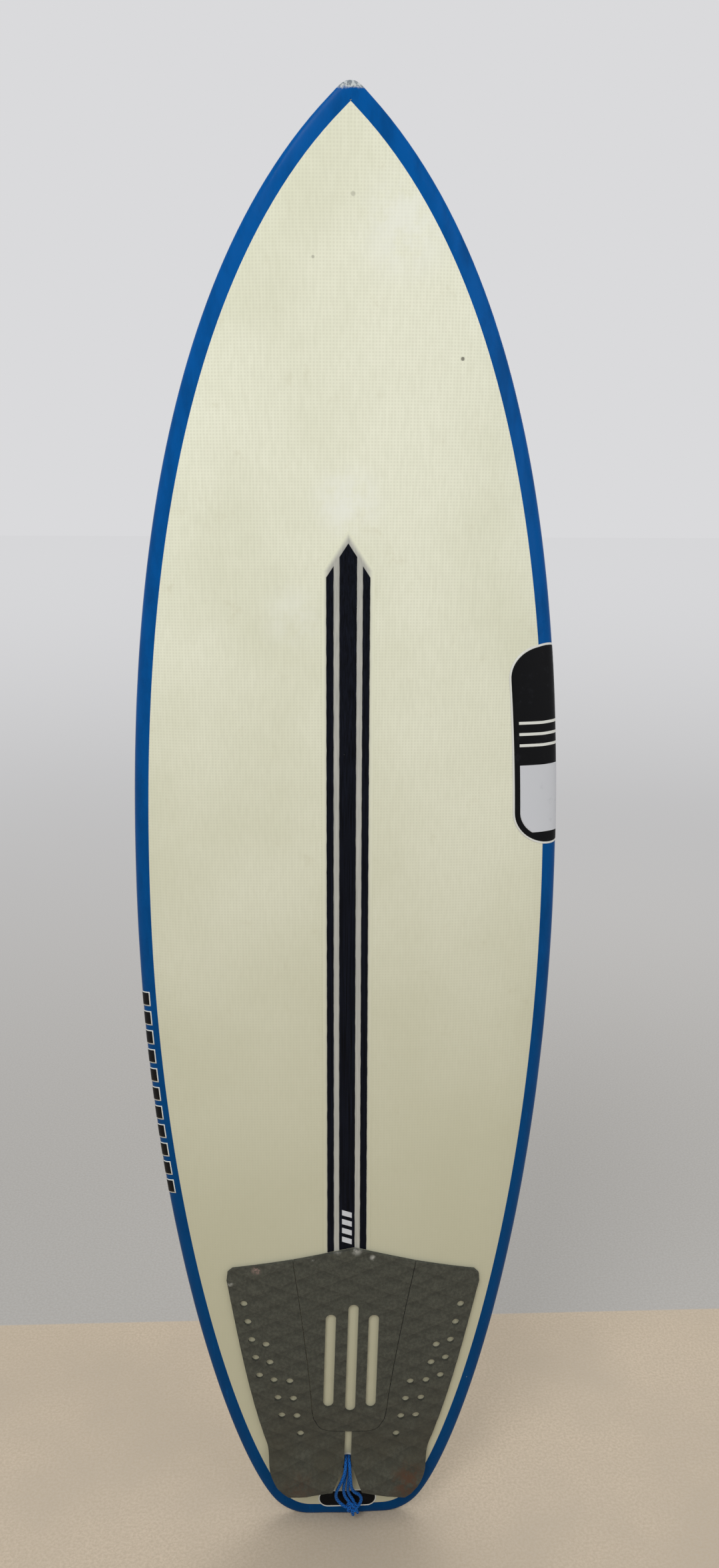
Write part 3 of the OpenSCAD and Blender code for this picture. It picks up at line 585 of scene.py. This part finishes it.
def rail_skin(material):
    """The tinted band: a closed ring of sections round the whole outline."""
    rings = []
    for side, stations in ((1, STATIONS[:-1]), (-1, STATIONS[:0:-1])):
        for station in stations:
            outer = [skin_point(station, d, True) for d in RIM]
            outer += [skin_point(station, d, False) for d in RIM[::-1]]
            in_x, in_z = SKIN * station[1]
            inner = [
                [x + in_x, y + SKIN / 2 * (1 if k < len(RIM) else -1), z + in_z]
                for k, (x, y, z) in enumerate(outer)
            ]
            rings.append([[side * x, y, z] for x, y, z in outer + inner[::-1]])
    n, m = len(rings), len(rings[0])
    faces = [
        (i * m + k, (i + 1) % n * m + k, (i + 1) % n * m + (k + 1) % m, i * m + (k + 1) % m)
        for i in range(n)
        for k in range(m)
    ]
    points = [p for ring in rings for p in ring]
    return make("rail_resin_band", points, faces, material, slot="blue_resin", replaces=["rail_band"])


def prism(name, outlines, low, high):
    """A solid of flat outlines in x and z, with any inner outline as a hole, from y low to high."""
    curve = bpy.data.curves.new(name, "CURVE")
    curve.dimensions, curve.fill_mode = "2D", "BOTH"
    curve.extrude = (high - low) / 2 * MM
    for outline in outlines:
        spline = curve.splines.new("POLY")
        spline.points.add(len(outline) - 1)
        spline.use_cyclic_u = True
        for point, (x, z) in zip(spline.points, outline):
            point.co = (x * MM, z * MM, 0, 1)
    maker = bpy.data.objects.new(name + "_maker", curve)
    mesh = bpy.data.meshes.new_from_object(maker)
    bpy.data.objects.remove(maker)
    mesh.transform(Matrix.Translation((0, (low + high) / 2 * MM, 0)) @ Matrix.Rotation(pi / 2, 4, "X"))
    build = bmesh.new()
    build.from_mesh(mesh)
    bmesh.ops.remove_doubles(build, verts=build.verts, dist=1e-6)
    bmesh.ops.recalc_face_normals(build, faces=build.faces)
    build.to_mesh(mesh)
    build.free()
    made = bpy.data.objects.new(name, mesh)
    bpy.context.scene.collection.objects.link(made)
    return made


def circle(x, z, r, n=40):
    return [(x + r * cos(2 * pi * k / n), z + r * sin(2 * pi * k / n)) for k in range(n)]


def stadium(x, z1, z2, w, n=14):
    arc = [(w / 2 * cos(pi * k / n), w / 2 * sin(pi * k / n)) for k in range(n + 1)]
    return [(x + a, z2 + b) for a, b in arc] + [(x - a, z1 - b) for a, b in arc]


def build_hull():
    cx, cz, d = CUP
    cup_hole = prism("cup_hole", [circle(cx, cz, d / 2 - 0.4, 64)], -30, 8)
    hull_skin("deck_skin", True, deck_look(), "cream_deck", "deck_laminate", [cup_hole])
    slots = []
    for side in (-1, 0, 1):
        cutter = prism("box_hole", [stadium(0, -56.5, 56.5, 16.6)], -12, 12)
        cutter.data.transform(fin_matrix(side))
        slots.append(cutter)
    hull_skin("bottom_skin", False, bottom_look(), "cream_bottom", "bottom_laminate", slots)
    rail_skin(rail_look())


# ---------------------------------------------------------------- strips and prints
LAYER = 0.3
TIP_SLOPE = 18.6 / 12.3


def strip_foot(x):
    a = x - PAD_SHIFT - PAD_L * sin(PAD_SKEW)
    return (PAD_L - 17 / 76 * abs(a)) * cos(PAD_SKEW) - a * sin(PAD_SKEW) + 0.8


def strip(name, x1, x2, lift, top, material, slot, node, columns, ragged=0.0):
    """A strip on the deck from x1 to x2, cut slanting at its upper end like an arrow."""
    across = np.linspace(x1, x2, columns + 1)
    steps = 150

    def rows(height):
        found = []
        for i in range(steps + 1):
            row = []
            for k, x in enumerate(across):
                low, high = strip_foot(x), top - TIP_SLOPE * abs(x)
                z = low + (high - low) * i / steps
                side = -1 if k == 0 else 1 if k == columns else 0
                edge = x + side * ragged * (sin(z * 0.9) + sin(z * 0.37 + x) + sin(z * 2.1))
                row.append([edge, deck_over(edge, z) - height, z])
            found.append(row)
        return found

    points, faces = slab(rows(lift), rows(lift + LAYER))
    return make(name, points, faces, material, slot=slot, replaces=[node], shade=False)


def build_strips():
    carbon, lift = carbon_look(), 0.16 + LAYER
    half, top = TAPE_W / 2, STRIP_TOP + 14
    strip("tape_glassed", -half, half, 0.05, top, tape_look(), "tape", "stringer_tape", 8)
    half, side = CENTER_W / 2, CENTER_W / 2 + STRIP_GAP
    far = side + SIDE_W
    spans = (("center", -half, half, 6), ("left", -far, -side, 3), ("right", side, far, 3))
    for word, x1, x2, columns in spans:
        name, node = f"carbon_{word}", f"carbon_strip_{word}"
        strip(name, x1, x2, lift, STRIP_TOP, carbon, "carbon", node, columns, 0.07)


def round_rail(z, high, under, count, trim=0.0, share=1.0):
    """Points evenly round the rail at a height, and the way out of the skin at each.

    They run from high, a distance inward over the deck, to a distance inward under the bottom.
    Both ends are trimmed by a length along the skin, and then drawn in to a share of the rest.
    """
    station = station_at(z)
    steps = (np.arange(17) / 16) ** 2
    path = [skin_point(station, high * s, True) for s in steps[::-1]]
    path = np.array(path + [skin_point(station, under * s, False) for s in steps])
    along = np.concatenate([[0], np.cumsum(np.linalg.norm(np.diff(path, axis=0), axis=1))])
    half = along[-1] / 2
    even = half + np.linspace(-1, 1, count + 1) * (half - trim) * share
    points = np.stack([np.interp(even, along, path[:, k]) for k in range(3)], axis=1)
    ways = np.gradient(points, axis=0)
    across = np.array([station[1][0], 0, station[1][1]])
    outs = [unit(-w[1] * across + np.array([0, w @ across, 0])) for w in ways]
    return points, outs


def wrapped(values, rows, lift, side):
    """Adds a thin patch over rows of rail points, lifted off the skin, on one side of the board."""
    points, faces = values
    sheets = [
        [[(side * q[0], q[1], q[2]) for q in (p + height * out for p, out in row)] for row in rows]
        for height in (lift, lift + 0.12)
    ]
    more, quads = slab(*sheets, len(points))
    points += more
    faces += quads


PILL_Z, PILL_W, PILL_IN, PILL_UNDER = (895, 1131), 80, 55, 17


def rail_pill(name, inset, lift, material, part=(0, 1), slot="black_print", replaces=()):
    """A long pill round the right rail, or the part of it between two shares of its length."""
    radius = PILL_W / 2 - inset
    foot, top = PILL_Z[0] + inset, PILL_Z[1] - inset
    z1, z2 = (foot + (top - foot) * s for s in part)
    rows = []
    for z in z1 + (z2 - z1) * (1 - np.cos(pi * np.arange(61) / 60)) / 2:
        end = max(0, foot + radius - z, z - (top - radius))
        share = sqrt(max(0.0004, 1 - (end / radius) ** 2))
        rows.append(list(zip(*round_rail(z, PILL_IN, PILL_UNDER, 30, inset, share))))
    shape = ([], [])
    wrapped(shape, rows, lift, 1)
    return make(name, *shape, material, slot=slot, replaces=replaces)


def build_prints(black, pale, silver):
    rail_pill("rail_pill_edge", 0, 0.15, pale)
    rail_pill("rail_pill_ink", 2.4, 0.32, black, replaces=["rail_decal"])
    rail_pill("rail_pill_panel", 9, 0.5, silver, (0.03, 0.4), "silver_print")
    for k, (low, high) in enumerate(((0.5, 0.515), (0.56, 0.575), (0.62, 0.635))):
        rail_pill(f"rail_pill_bar_{k}", 9, 0.5, pale, (low, high))
    edge, ink = ([], []), ([], [])
    for i in range(11):
        z = 449 + 24.5 * i
        for values, grow, lift in ((edge, 1.3, 0.15), (ink, 0, 0.32)):
            slanted_bar(values, z, grow, lift)
    make("rail_bars_edge", *edge, pale, slot="black_print")
    make("rail_bars_ink", *ink, black, slot="black_print", replaces=["rail_marks"])
    for name, grow, lift, material in (("tail_pill_edge", 1.6, 0.15, pale), ("tail_pill_ink", 0, 0.3, black)):
        tail_pill(name, grow, lift, material)
    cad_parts["strip_mark"].data.materials[0] = silver


def slanted_bar(values, z, grow, lift):
    """One bar round the left rail, higher on the deck side than on the bottom side."""
    columns, height = 16, 15.5 + 2 * grow
    rows = []
    for i in range(7):
        row = []
        for k in range(columns + 1):
            level = z + 4 * (1 - k / columns) - grow + height * i / 6
            points, outs = round_rail(level, 9 + grow, 6 + grow, columns)
            row.append((points[k], outs[k]))
        rows.append(row)
    wrapped(values, rows, lift, -1)


def tail_pill(name, grow, lift, material):
    w, h, z0 = 72 + 2 * grow, 21 + 2 * grow, 27

    def sheet(height):
        rows = []
        for i in range(25):
            angle = -pi / 2 + pi * i / 24
            z, half = z0 + h / 2 * sin(angle), (w - h) / 2 + h / 2 * cos(angle)
            across = [1 + half * (k / 12 - 1) for k in range(25)]
            rows.append([[x, deck_over(x, z) - height, z] for x in across])
        return rows

    points, faces = slab(sheet(lift), sheet(lift + 0.12))
    replaces = ["tail_decal"] if grow == 0 else []
    make(name, points, faces, material, slot="black_print", replaces=replaces)


# ---------------------------------------------------------------- tail pad
KICK_FRONT, KICK_FULL, PAD_END = 110, 55, 46
SEAM_TOP, CENTER_FOOT = PAD_L - 17, 128


def kick_at(b):
    return KICK_H * smooth((KICK_FRONT - b) / (KICK_FRONT - KICK_FULL))


def pad_xz(a, b):
    return (
        PAD_SHIFT + a * cos(PAD_SKEW) + b * sin(PAD_SKEW),
        b * cos(PAD_SKEW) - a * sin(PAD_SKEW),
    )


def pad_place(a, b, lift):
    x, z = pad_xz(a, b)
    return [x, deck_over(x, z) - PAD_GLUE - lift, z]


def pad_scale(a, b):
    """Depth of the moulded scales: long low diamonds that each sink toward their upper edges."""
    x, z = pad_xz(a, b)
    depth = 0.0
    for way in (1, -1):
        turn = (z + way * abs(x - PAD_SHIFT) * SCALE_H / SCALE_W) / SCALE_H
        depth += 0.5 * SCALE_DEPTH * smooth((turn % 1 - 0.35) / 0.65)
    return depth


def seam_a(b):
    return 46 + 30 * max(0, (b - 146) / (SEAM_TOP - 146)) ** 1.25


def pad_side(side):
    """The plan of one side panel, from the slot's top round its outer edge and back."""
    points = [(4.4, 88), (4.4, CENTER_FOOT), (0, CENTER_FOOT + 20), (0, PAD_L), (76, PAD_L - 17)]
    points += [(151, PAD_L - 31), (157, PAD_L - 37), (158, PAD_L - 47)]
    waist = [(158, PAD_L - 47), (142, 255), (128, 180), (105, 113)]
    hip = [(105, 113), (98, 96), (103, 82), (96, 70)]
    points += [tuple(bezier(waist, t)) for t in np.arange(0.05, 1.001, 0.05)]
    points += [tuple(bezier(hip, t)) for t in np.arange(0.1, 0.95, 0.1)]
    points += [(96, 70), (90, 60), (82, 51), (74, PAD_END), (52, PAD_END + 2), (19, PAD_END + 8)]
    return [(side * a, b) for a, b in points]


def pad_middle(grow):
    """The middle panel's plan, grown outward by a little."""
    foot = [(0, CENTER_FOOT), (22, CENTER_FOOT + 1), (34, 128), (40, 138)]
    right = [tuple(bezier(foot, t)) for t in np.arange(0, 0.95, 0.1)]
    right += [(40, 138), (44.5, 146)] + [(seam_a(b), b) for b in np.arange(156, SEAM_TOP + 1, 12)]
    out = []
    for k, (a, b) in enumerate(right):
        p, q = right[max(0, k - 1)], right[min(len(right) - 1, k + 1)]
        away = unit((q[1] - p[1], p[0] - q[0]))
        out.append((a + grow * away[0], b + grow * away[1]))
    out += [(seam_a(SEAM_TOP) + grow, SEAM_TOP + 3 * grow), (0, PAD_L + 3 * grow)]
    return out + [(-a, b) for a, b in out[-2:0:-1]]


def flat_on_pad(outline):
    return [pad_xz(a, b) for a, b in outline]


def pad_cutter(outlines):
    return prism("pad_cutter", [flat_on_pad(o) for o in outlines], -90, 40)


def pad_grid(a_lines, b_lines, low, high):
    return slab(
        [[pad_place(a, b, low(a, b)) for a in a_lines] for b in b_lines],
        [[pad_place(a, b, high(a, b)) for a in a_lines] for b in b_lines],
    )


def pad_top(a, b):
    return kick_at(b) + PAD_T - pad_scale(a, b)


def side_holes(side):
    """Three slanting rows of round holes, mirrored for the left panel."""
    rows = ((136, 5.3, 306, 5), (107.5, 5.5, 250, 5), (76.5, 5.1, 199, 4))
    return [circle(side * (a - da * k), b - 25 * k, HOLE_R) for a, da, b, n in rows for k in range(n)]


def side_panel(name, side, material, node):
    lines = [side * a for a in np.arange(-1.5, 162, 2)]
    rows = np.arange(42, PAD_L + 4, 2)
    shape = pad_grid(lines, rows, lambda a, b: kick_at(b), pad_top)
    piece = make(name, *shape, material, slot="pad_foam", replaces=[node])
    cut(piece, pad_cutter([pad_side(side)] + side_holes(side)), "INTERSECT")
    cut(piece, pad_cutter([pad_middle(SEAM)]), "DIFFERENCE")
    finish_pad(piece)


def finish_pad(piece):
    smooth_faces(piece)
    bevel(piece, 0.5, 2, 55)


def build_pad():
    mud, wax, pale = srgb(78, 52, 36), srgb(196, 160, 150), srgb(190, 190, 182)
    stains = [
        (0.078, 0.062, 0.032, mud, 0.8), (-0.06, 0.06, 0.03, mud, 0.35), (-0.112, 0.357, 0.008, wax, 0.45),
        (0.012, 0.384, 0.01, pale, 0.6), (-0.012, 0.384, 0.008, pale, 0.6), (-0.145, 0.338, 0.005, pale, 0.5),
        (0.032, 0.373, 0.005, pale, 0.6), (-0.043, 0.372, 0.004, pale, 0.6),
    ]
    foam = pad_look("pad_eva", srgb(62, 63, 55), srgb(80, 81, 71), stains)
    under = pad_look("kick_eva", srgb(52, 52, 46), srgb(64, 63, 56), [], False)
    side_panel("pad_panel_left", -1, foam, "pad_left")
    side_panel("pad_panel_right", 1, foam, "pad_right")
    rows = np.arange(122, PAD_L + 6, 2)
    shape = pad_grid(np.arange(-82, 83, 2), rows, lambda a, b: 0, lambda a, b: PAD_T - pad_scale(a, b))
    middle = make("pad_panel_middle", *shape, foam, slot="pad_foam", replaces=["pad_center"])
    slots = [stadium(1, 162, 302, 13), stadium(-27, 168, 288, 13), stadium(27, 168, 288, 13)]
    cut(middle, pad_cutter([pad_middle(0)] + slots), "INTERSECT")
    finish_pad(middle)
    for name, side, node in (("kick_block_left", -1, "kick_left"), ("kick_block_right", 1, "kick_right")):
        lines = [side * a for a in np.arange(-1.5, 112, 3)]
        rows = np.arange(42, KICK_FRONT - 3, 3)
        shape = pad_grid(lines, rows, lambda a, b: 0, lambda a, b: kick_at(b) - 0.05)
        block = make(name, *shape, under, slot="kick_foam", replaces=[node])
        cut(block, pad_cutter([pad_side(side)]), "INTERSECT")
        smooth_faces(block)
        bevel(block, 0.4, 1, 55)


# ---------------------------------------------------------------- leash plug and string
# The cords' routes repeat the CAD part's, in metres
LEFT_LOOP = [
    (0.0025, -0.019, 0.020), (-0.003, -0.018, 0.0225), (-0.008, -0.0175, 0.0265), (-0.0125, -0.018, 0.033),
    (-0.014, -0.020, 0.041), (-0.0128, -0.0225, 0.050), (-0.0095, -0.0245, 0.0595), (-0.0058, -0.0255, 0.069),
    (-0.003, -0.0245, 0.078), (-0.0016, -0.0205, 0.085), (-0.0013, -0.013, 0.088), (-0.0012, -0.004, 0.088),
    (-0.0012, 0.0015, 0.0855), (-0.0012, 0.004, 0.080), (-0.0012, 0.0015, 0.0745), (-0.0012, -0.004, 0.072),
    (-0.0013, -0.011, 0.072), (-0.0016, -0.017, 0.0695), (-0.0026, -0.0205, 0.0635), (-0.0038, -0.0205, 0.055),
    (-0.004, -0.019, 0.046), (-0.002, -0.0185, 0.0375), (0.002, -0.0185, 0.031), (0.005, -0.019, 0.0265),
]
RIGHT_LOOP = [
    (0.009, -0.020, 0.020), (0.0135, -0.0195, 0.0225), (0.0175, -0.0185, 0.028), (0.0185, -0.0185, 0.0345),
    (0.0155, -0.0195, 0.041), (0.010, -0.021, 0.046), (0.0068, -0.023, 0.0525), (0.0052, -0.025, 0.0605),
    (0.0046, -0.0255, 0.069), (0.0039, -0.0245, 0.078), (0.0034, -0.0205, 0.085), (0.0032, -0.013, 0.088),
    (0.0032, -0.004, 0.088), (0.0032, 0.0015, 0.0855), (0.0032, 0.004, 0.080), (0.0032, 0.0015, 0.0745),
    (0.0032, -0.004, 0.072), (0.0032, -0.011, 0.072), (0.003, -0.017, 0.0695), (0.0024, -0.020, 0.0635),
    (0.0016, -0.0198, 0.055), (0.0014, -0.018, 0.0465), (0.0034, -0.0165, 0.0385), (0.007, -0.0165, 0.032),
    (0.0098, -0.0175, 0.027),
]
KNOT_AT = np.array([0.0065, -0.0195, 0.022])
STRING_D = 0.004


def rounded(points, per=5):
    """The points again with more between them on a smooth curve through all."""
    p = np.array(points, float)
    p = np.vstack([2 * p[0] - p[1], p, 2 * p[-1] - p[-2]])
    found = []
    for i in range(1, len(p) - 2):
        a, b, c, d = p[i - 1 : i + 3]
        for t in np.arange(per) / per:
            bend, twist = 2 * a - 5 * b + 4 * c - d, 3 * b - a - 3 * c + d
            found.append(0.5 * (2 * b + (c - a) * t + bend * t**2 + twist * t**3))
    return np.array(found + [p[-2]])


def tube(name, path, radius, material, sides=14, closed=False):
    """A round cord along a path in metres, with a map of turns round it and metres along it."""
    path = np.array(path)
    n = len(path)
    if closed:
        ways = np.roll(path, -1, 0) - np.roll(path, 1, 0)
    else:
        ways = np.gradient(path, axis=0)
    ways /= np.linalg.norm(ways, axis=1)[:, None]
    side = unit(np.cross(ways[0], (0.3, 0.1, 1)))
    along = np.concatenate([[0], np.cumsum(np.linalg.norm(np.diff(path, axis=0), axis=1))])
    build = bmesh.new()
    uv = build.loops.layers.uv.new("UVMap")
    rings = []
    for i in range(n):
        side = unit(side - (side @ ways[i]) * ways[i])
        up = np.cross(ways[i], side)
        end = 1.0
        if not closed:
            end = sqrt(max(0.12, 1 - max(0, 1 - min(along[i], along[-1] - along[i]) / radius) ** 2))
        turns = [2 * pi * k / sides for k in range(sides)]
        rings.append([build.verts.new(path[i] + radius * end * (cos(t) * side + sin(t) * up)) for t in turns])
    spans = list(zip(range(n), list(range(1, n)) + [0])) if closed else list(zip(range(n - 1), range(1, n)))
    for i, j in spans:
        for k in range(sides):
            m = (k + 1) % sides
            face = build.faces.new((rings[i][k], rings[i][m], rings[j][m], rings[j][k]))
            far = along[j] if j > i else along[i] + 0.001
            for loop, (a, b) in zip(face.loops, ((k, along[i]), (k + 1, along[i]), (k + 1, far), (k, far))):
                loop[uv].uv = (a / sides, b)
            face.smooth = True
    if not closed:
        build.faces.new(rings[0][::-1])
        build.faces.new(rings[-1])
    bmesh.ops.recalc_face_normals(build, faces=build.faces)
    mesh = bpy.data.meshes.new(name)
    build.to_mesh(mesh)
    build.free()
    mesh.materials.append(material)
    piece = bpy.data.objects.new(name, mesh)
    bpy.context.scene.collection.objects.link(piece)
    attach(piece, "board")
    return piece


def build_leash():
    braid = cord_look()
    turn = np.linspace(0, 2 * pi, 120, endpoint=False)
    size = 0.00205
    knot_path = np.stack([
        KNOT_AT[0] + size * (2 + np.cos(3 * turn)) * np.cos(2 * turn),
        KNOT_AT[1] + size * 1.15 * np.sin(3 * turn),
        KNOT_AT[2] + size * (2 + np.cos(3 * turn)) * np.sin(2 * turn),
    ], axis=1)
    knot = tube("string_knot", knot_path, 0.0021, braid, closed=True)
    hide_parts("leash_knot")
    ends = [
        tube(f"knot_end_{k}", rounded(points, 6), 0.00195, braid)
        for k, points in enumerate((
            [(0.0095, -0.021, 0.021), (0.0125, -0.0205, 0.0175), (0.0145, -0.0195, 0.0125)],
            [(0.006, -0.021, 0.019), (0.0075, -0.0215, 0.0145), (0.0085, -0.0205, 0.0105)],
        ))
    ]
    for word, loop in (("left", LEFT_LOOP), ("right", RIGHT_LOOP)):
        path = rounded(loop)
        cord = tube(f"string_{word}", path, STRING_D / 2, braid)
        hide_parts(f"leash_string_{word}")
    cup = plastic_look("cup_plastic", srgb(214, 214, 202), srgb(182, 180, 164), 0.35)
    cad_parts["leash_cup"].data.materials[0] = cup
    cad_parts["leash_pin"].data.materials[0] = steel_look()


# ---------------------------------------------------------------- fins
def fin_matrix(side):
    """The frame of a fin, in metres: X across, Y out of the board, Z toward the nose."""
    z = (CENTER_FIN_Z if side == 0 else SIDE_FIN_Z) + FIN_BASE / 2
    slope = -atan(bottom_y(z + 0.5) - bottom_y(z - 0.5))
    y = bottom_y(z) - CONCAVE * body_share(z) * (0.95 if side == 0 else 0.12)
    x = side * (SIDE_FIN_X - FIN_BASE / 2 * sin(FIN_TOE))
    turn = Matrix.Rotation(slope, 4, "X") @ Matrix.Rotation(-side * FIN_TOE, 4, "Y")
    return Matrix.Translation((x * MM, y * MM, z * MM)) @ turn @ Matrix.Rotation(-side * FIN_CANT, 4, "Z")


def fin_points():
    """The blade as rings of a foil section, and the tab below it."""
    share = [(k / 26) ** 1.6 for k in range(27)]
    foil = [(c, 1) for c in share] + [(c, -1) for c in share[-2:0:-1]]
    rings = []
    for i in range(41):
        f = 1 - (1 - i / 40) ** 1.6
        front = FIN_BASE / 2 - (FIN_BASE + 18) * f**1.7
        rear = -FIN_BASE / 2 + 8 * sin(pi * min(1, f * 1.3)) - 20 * f**2.2
        chord, half = max(3, front - rear), max(0.5, 3.2 * (1 - 0.75 * f))
        y = 0.7 + f * FIN_DEPTH
        rings.append([(s * (0.3 + half * sqrt(c) * (1 - c) * 2.6), y, front - c * chord) for c, s in foil])
    n = len(foil)
    points = [p for ring in rings for p in ring]
    faces = [
        (i * n + k, i * n + (k + 1) % n, (i + 1) * n + (k + 1) % n, (i + 1) * n + k)
        for i in range(40)
        for k in range(n)
    ]
    faces += [tuple(range(n))[::-1], tuple(range(40 * n, 41 * n))]
    at, half_l, half_w = len(points), TAB_L / 2, TAB_W / 2
    corners = ((-half_w, -half_l), (half_w, -half_l), (half_w, half_l), (-half_w, half_l))
    points += [(x, y, z) for y in (-TAB_H, 1) for x, z in corners]
    sides = ((3, 2, 1, 0), (4, 5, 6, 7), (0, 1, 5, 4), (1, 2, 6, 5), (2, 3, 7, 6), (3, 0, 4, 7))
    faces += [tuple(at + k for k in f) for f in sides]
    return points, faces


def build_fins():
    look = fin_look()
    box = plastic_look("box_plastic", srgb(204, 206, 204), srgb(176, 177, 172), 0.35)
    screw = steel_look()
    points, faces = fin_points()
    for word, side in (("left", -1), ("right", 1), ("center", 0)):
        matrix = fin_matrix(side)
        placed = [[c / MM for c in matrix @ Vector([q * MM for q in p])] for p in points]
        body, node = f"fin_{word}_blade", f"fin_{word}"
        fin = make(f"fin_blade_{word}", placed, faces, look, body, "fin_plastic", [node], shade=False)
        smooth_faces(fin)
        bevel(fin, 0.25, 2, 60)
        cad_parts[f"fin_box_{word}"].data.materials[0] = box
        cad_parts[f"fin_screws_{word}"].data.materials[0] = screw


# ---------------------------------------------------------------- camera, light and floor
def add_camera():
    data = bpy.data.cameras.new("camera")
    data.sensor_fit, data.sensor_height, data.lens = "VERTICAL", 36, 27.04
    camera = bpy.data.objects.new("camera", data)
    yaw, pitch, roll = radians(-2.39), radians(-12.03), radians(0.22)
    turn = Matrix.Rotation(yaw, 4, "Z") @ Matrix.Rotation(pi / 2 + pitch, 4, "X")
    camera.matrix_world = Matrix.Translation((-0.041, -1.309, 1.25)) @ turn @ Matrix.Rotation(roll, 4, "Z")
    bpy.context.scene.collection.objects.link(camera)
    bpy.context.scene.camera = camera


def add_light(name, place, target, size, watts, color):
    data = bpy.data.lights.new(name, "AREA")
    data.size, data.energy, data.color = size, watts, color
    lamp = bpy.data.objects.new(name, data)
    lamp.location = place
    lamp.rotation_euler = (Vector(target) - Vector(place)).to_track_quat("-Z", "Y").to_euler()
    bpy.context.scene.collection.objects.link(lamp)


def add_floor():
    """A plain floor: warm in front of the board, paler behind, and lost in the grey far away."""
    look = Look("floor", Specular_IOR_Level=0.1)
    back = look.span(look.axis(1), FLOOR_SEAM - 0.002, FLOOR_SEAM + 0.002)
    grain = look.span(look.noise(260, 5, 0.7), 0.35, 0.65)
    worn = look.span(look.noise(3, 4, 0.6), 0.35, 0.7)
    warm = look.mix(grain, look.mix(worn, srgb(198, 183, 162), srgb(184, 172, 154)), srgb(182, 168, 148))
    color = look.mix(back, warm, look.mix(grain, srgb(176, 174, 170), srgb(168, 165, 160)))
    material = look.done(color, 0.85, look.bump(look.noise(500, 3), 0.2, 0.4))
    far = look.node("ShaderNodeVectorMath", {0: look.place}, operation="LENGTH").outputs["Value"]
    share = look.span(look.math("DIVIDE", far, look.math("ADD", far, 2.0)), 0.3, 0.97)
    haze = look.node("ShaderNodeEmission", {"Color": srgb(215, 215, 217), "Strength": 1.0}).outputs[0]
    faded = look.node("ShaderNodeMixShader", {0: share, 1: look.shader.outputs[0], 2: haze}).outputs[0]
    look.tree.links.new(faded, look.tree.nodes["Material Output"].inputs[0])
    mesh = bpy.data.meshes.new("floor")
    size = 400
    corners = [(-size, -size, 0), (size, -size, 0), (size, size, 0), (-size, size, 0)]
    mesh.from_pydata(corners, [], [(0, 1, 2, 3)])
    mesh.materials.append(material)
    floor = bpy.data.objects.new("floor", mesh)
    bpy.context.scene.collection.objects.link(floor)


def add_surroundings():
    scene = bpy.context.scene
    scene.view_settings.view_transform = "Standard"
    world = bpy.data.worlds.new("world")
    scene.world = world
    world.use_nodes = True
    background = world.node_tree.nodes["Background"]
    background.inputs[0].default_value = srgb(218, 218, 220)
    background.inputs[1].default_value = 1.0
    add_light("key", (-1.1, -2.4, 3.1), (0, 0, 1.1), 1.4, 44, (1, 1, 0.99))
    add_light("fill", (2.2, -1.9, 1.6), (0, 0, 0.9), 1.8, 8, (1, 1, 1))
    add_light("back", (0.8, 2.6, 2.6), (0, 0, 0.8), 2.0, 30, (1, 1, 1))
    add_floor()


# ---------------------------------------------------------------- build
add_camera()
build_leash()
build_hull()
build_strips()
build_prints(
    print_look("ink_black", srgb(12, 13, 16), srgb(44, 46, 52)),
    print_look("ink_pale", srgb(214, 216, 210), srgb(186, 188, 180)),
    print_look("ink_silver", srgb(196, 199, 204), srgb(160, 164, 170)),
)
build_pad()
build_fins()
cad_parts["foam_core"].data.materials[0] = foam_look()
add_surroundings()
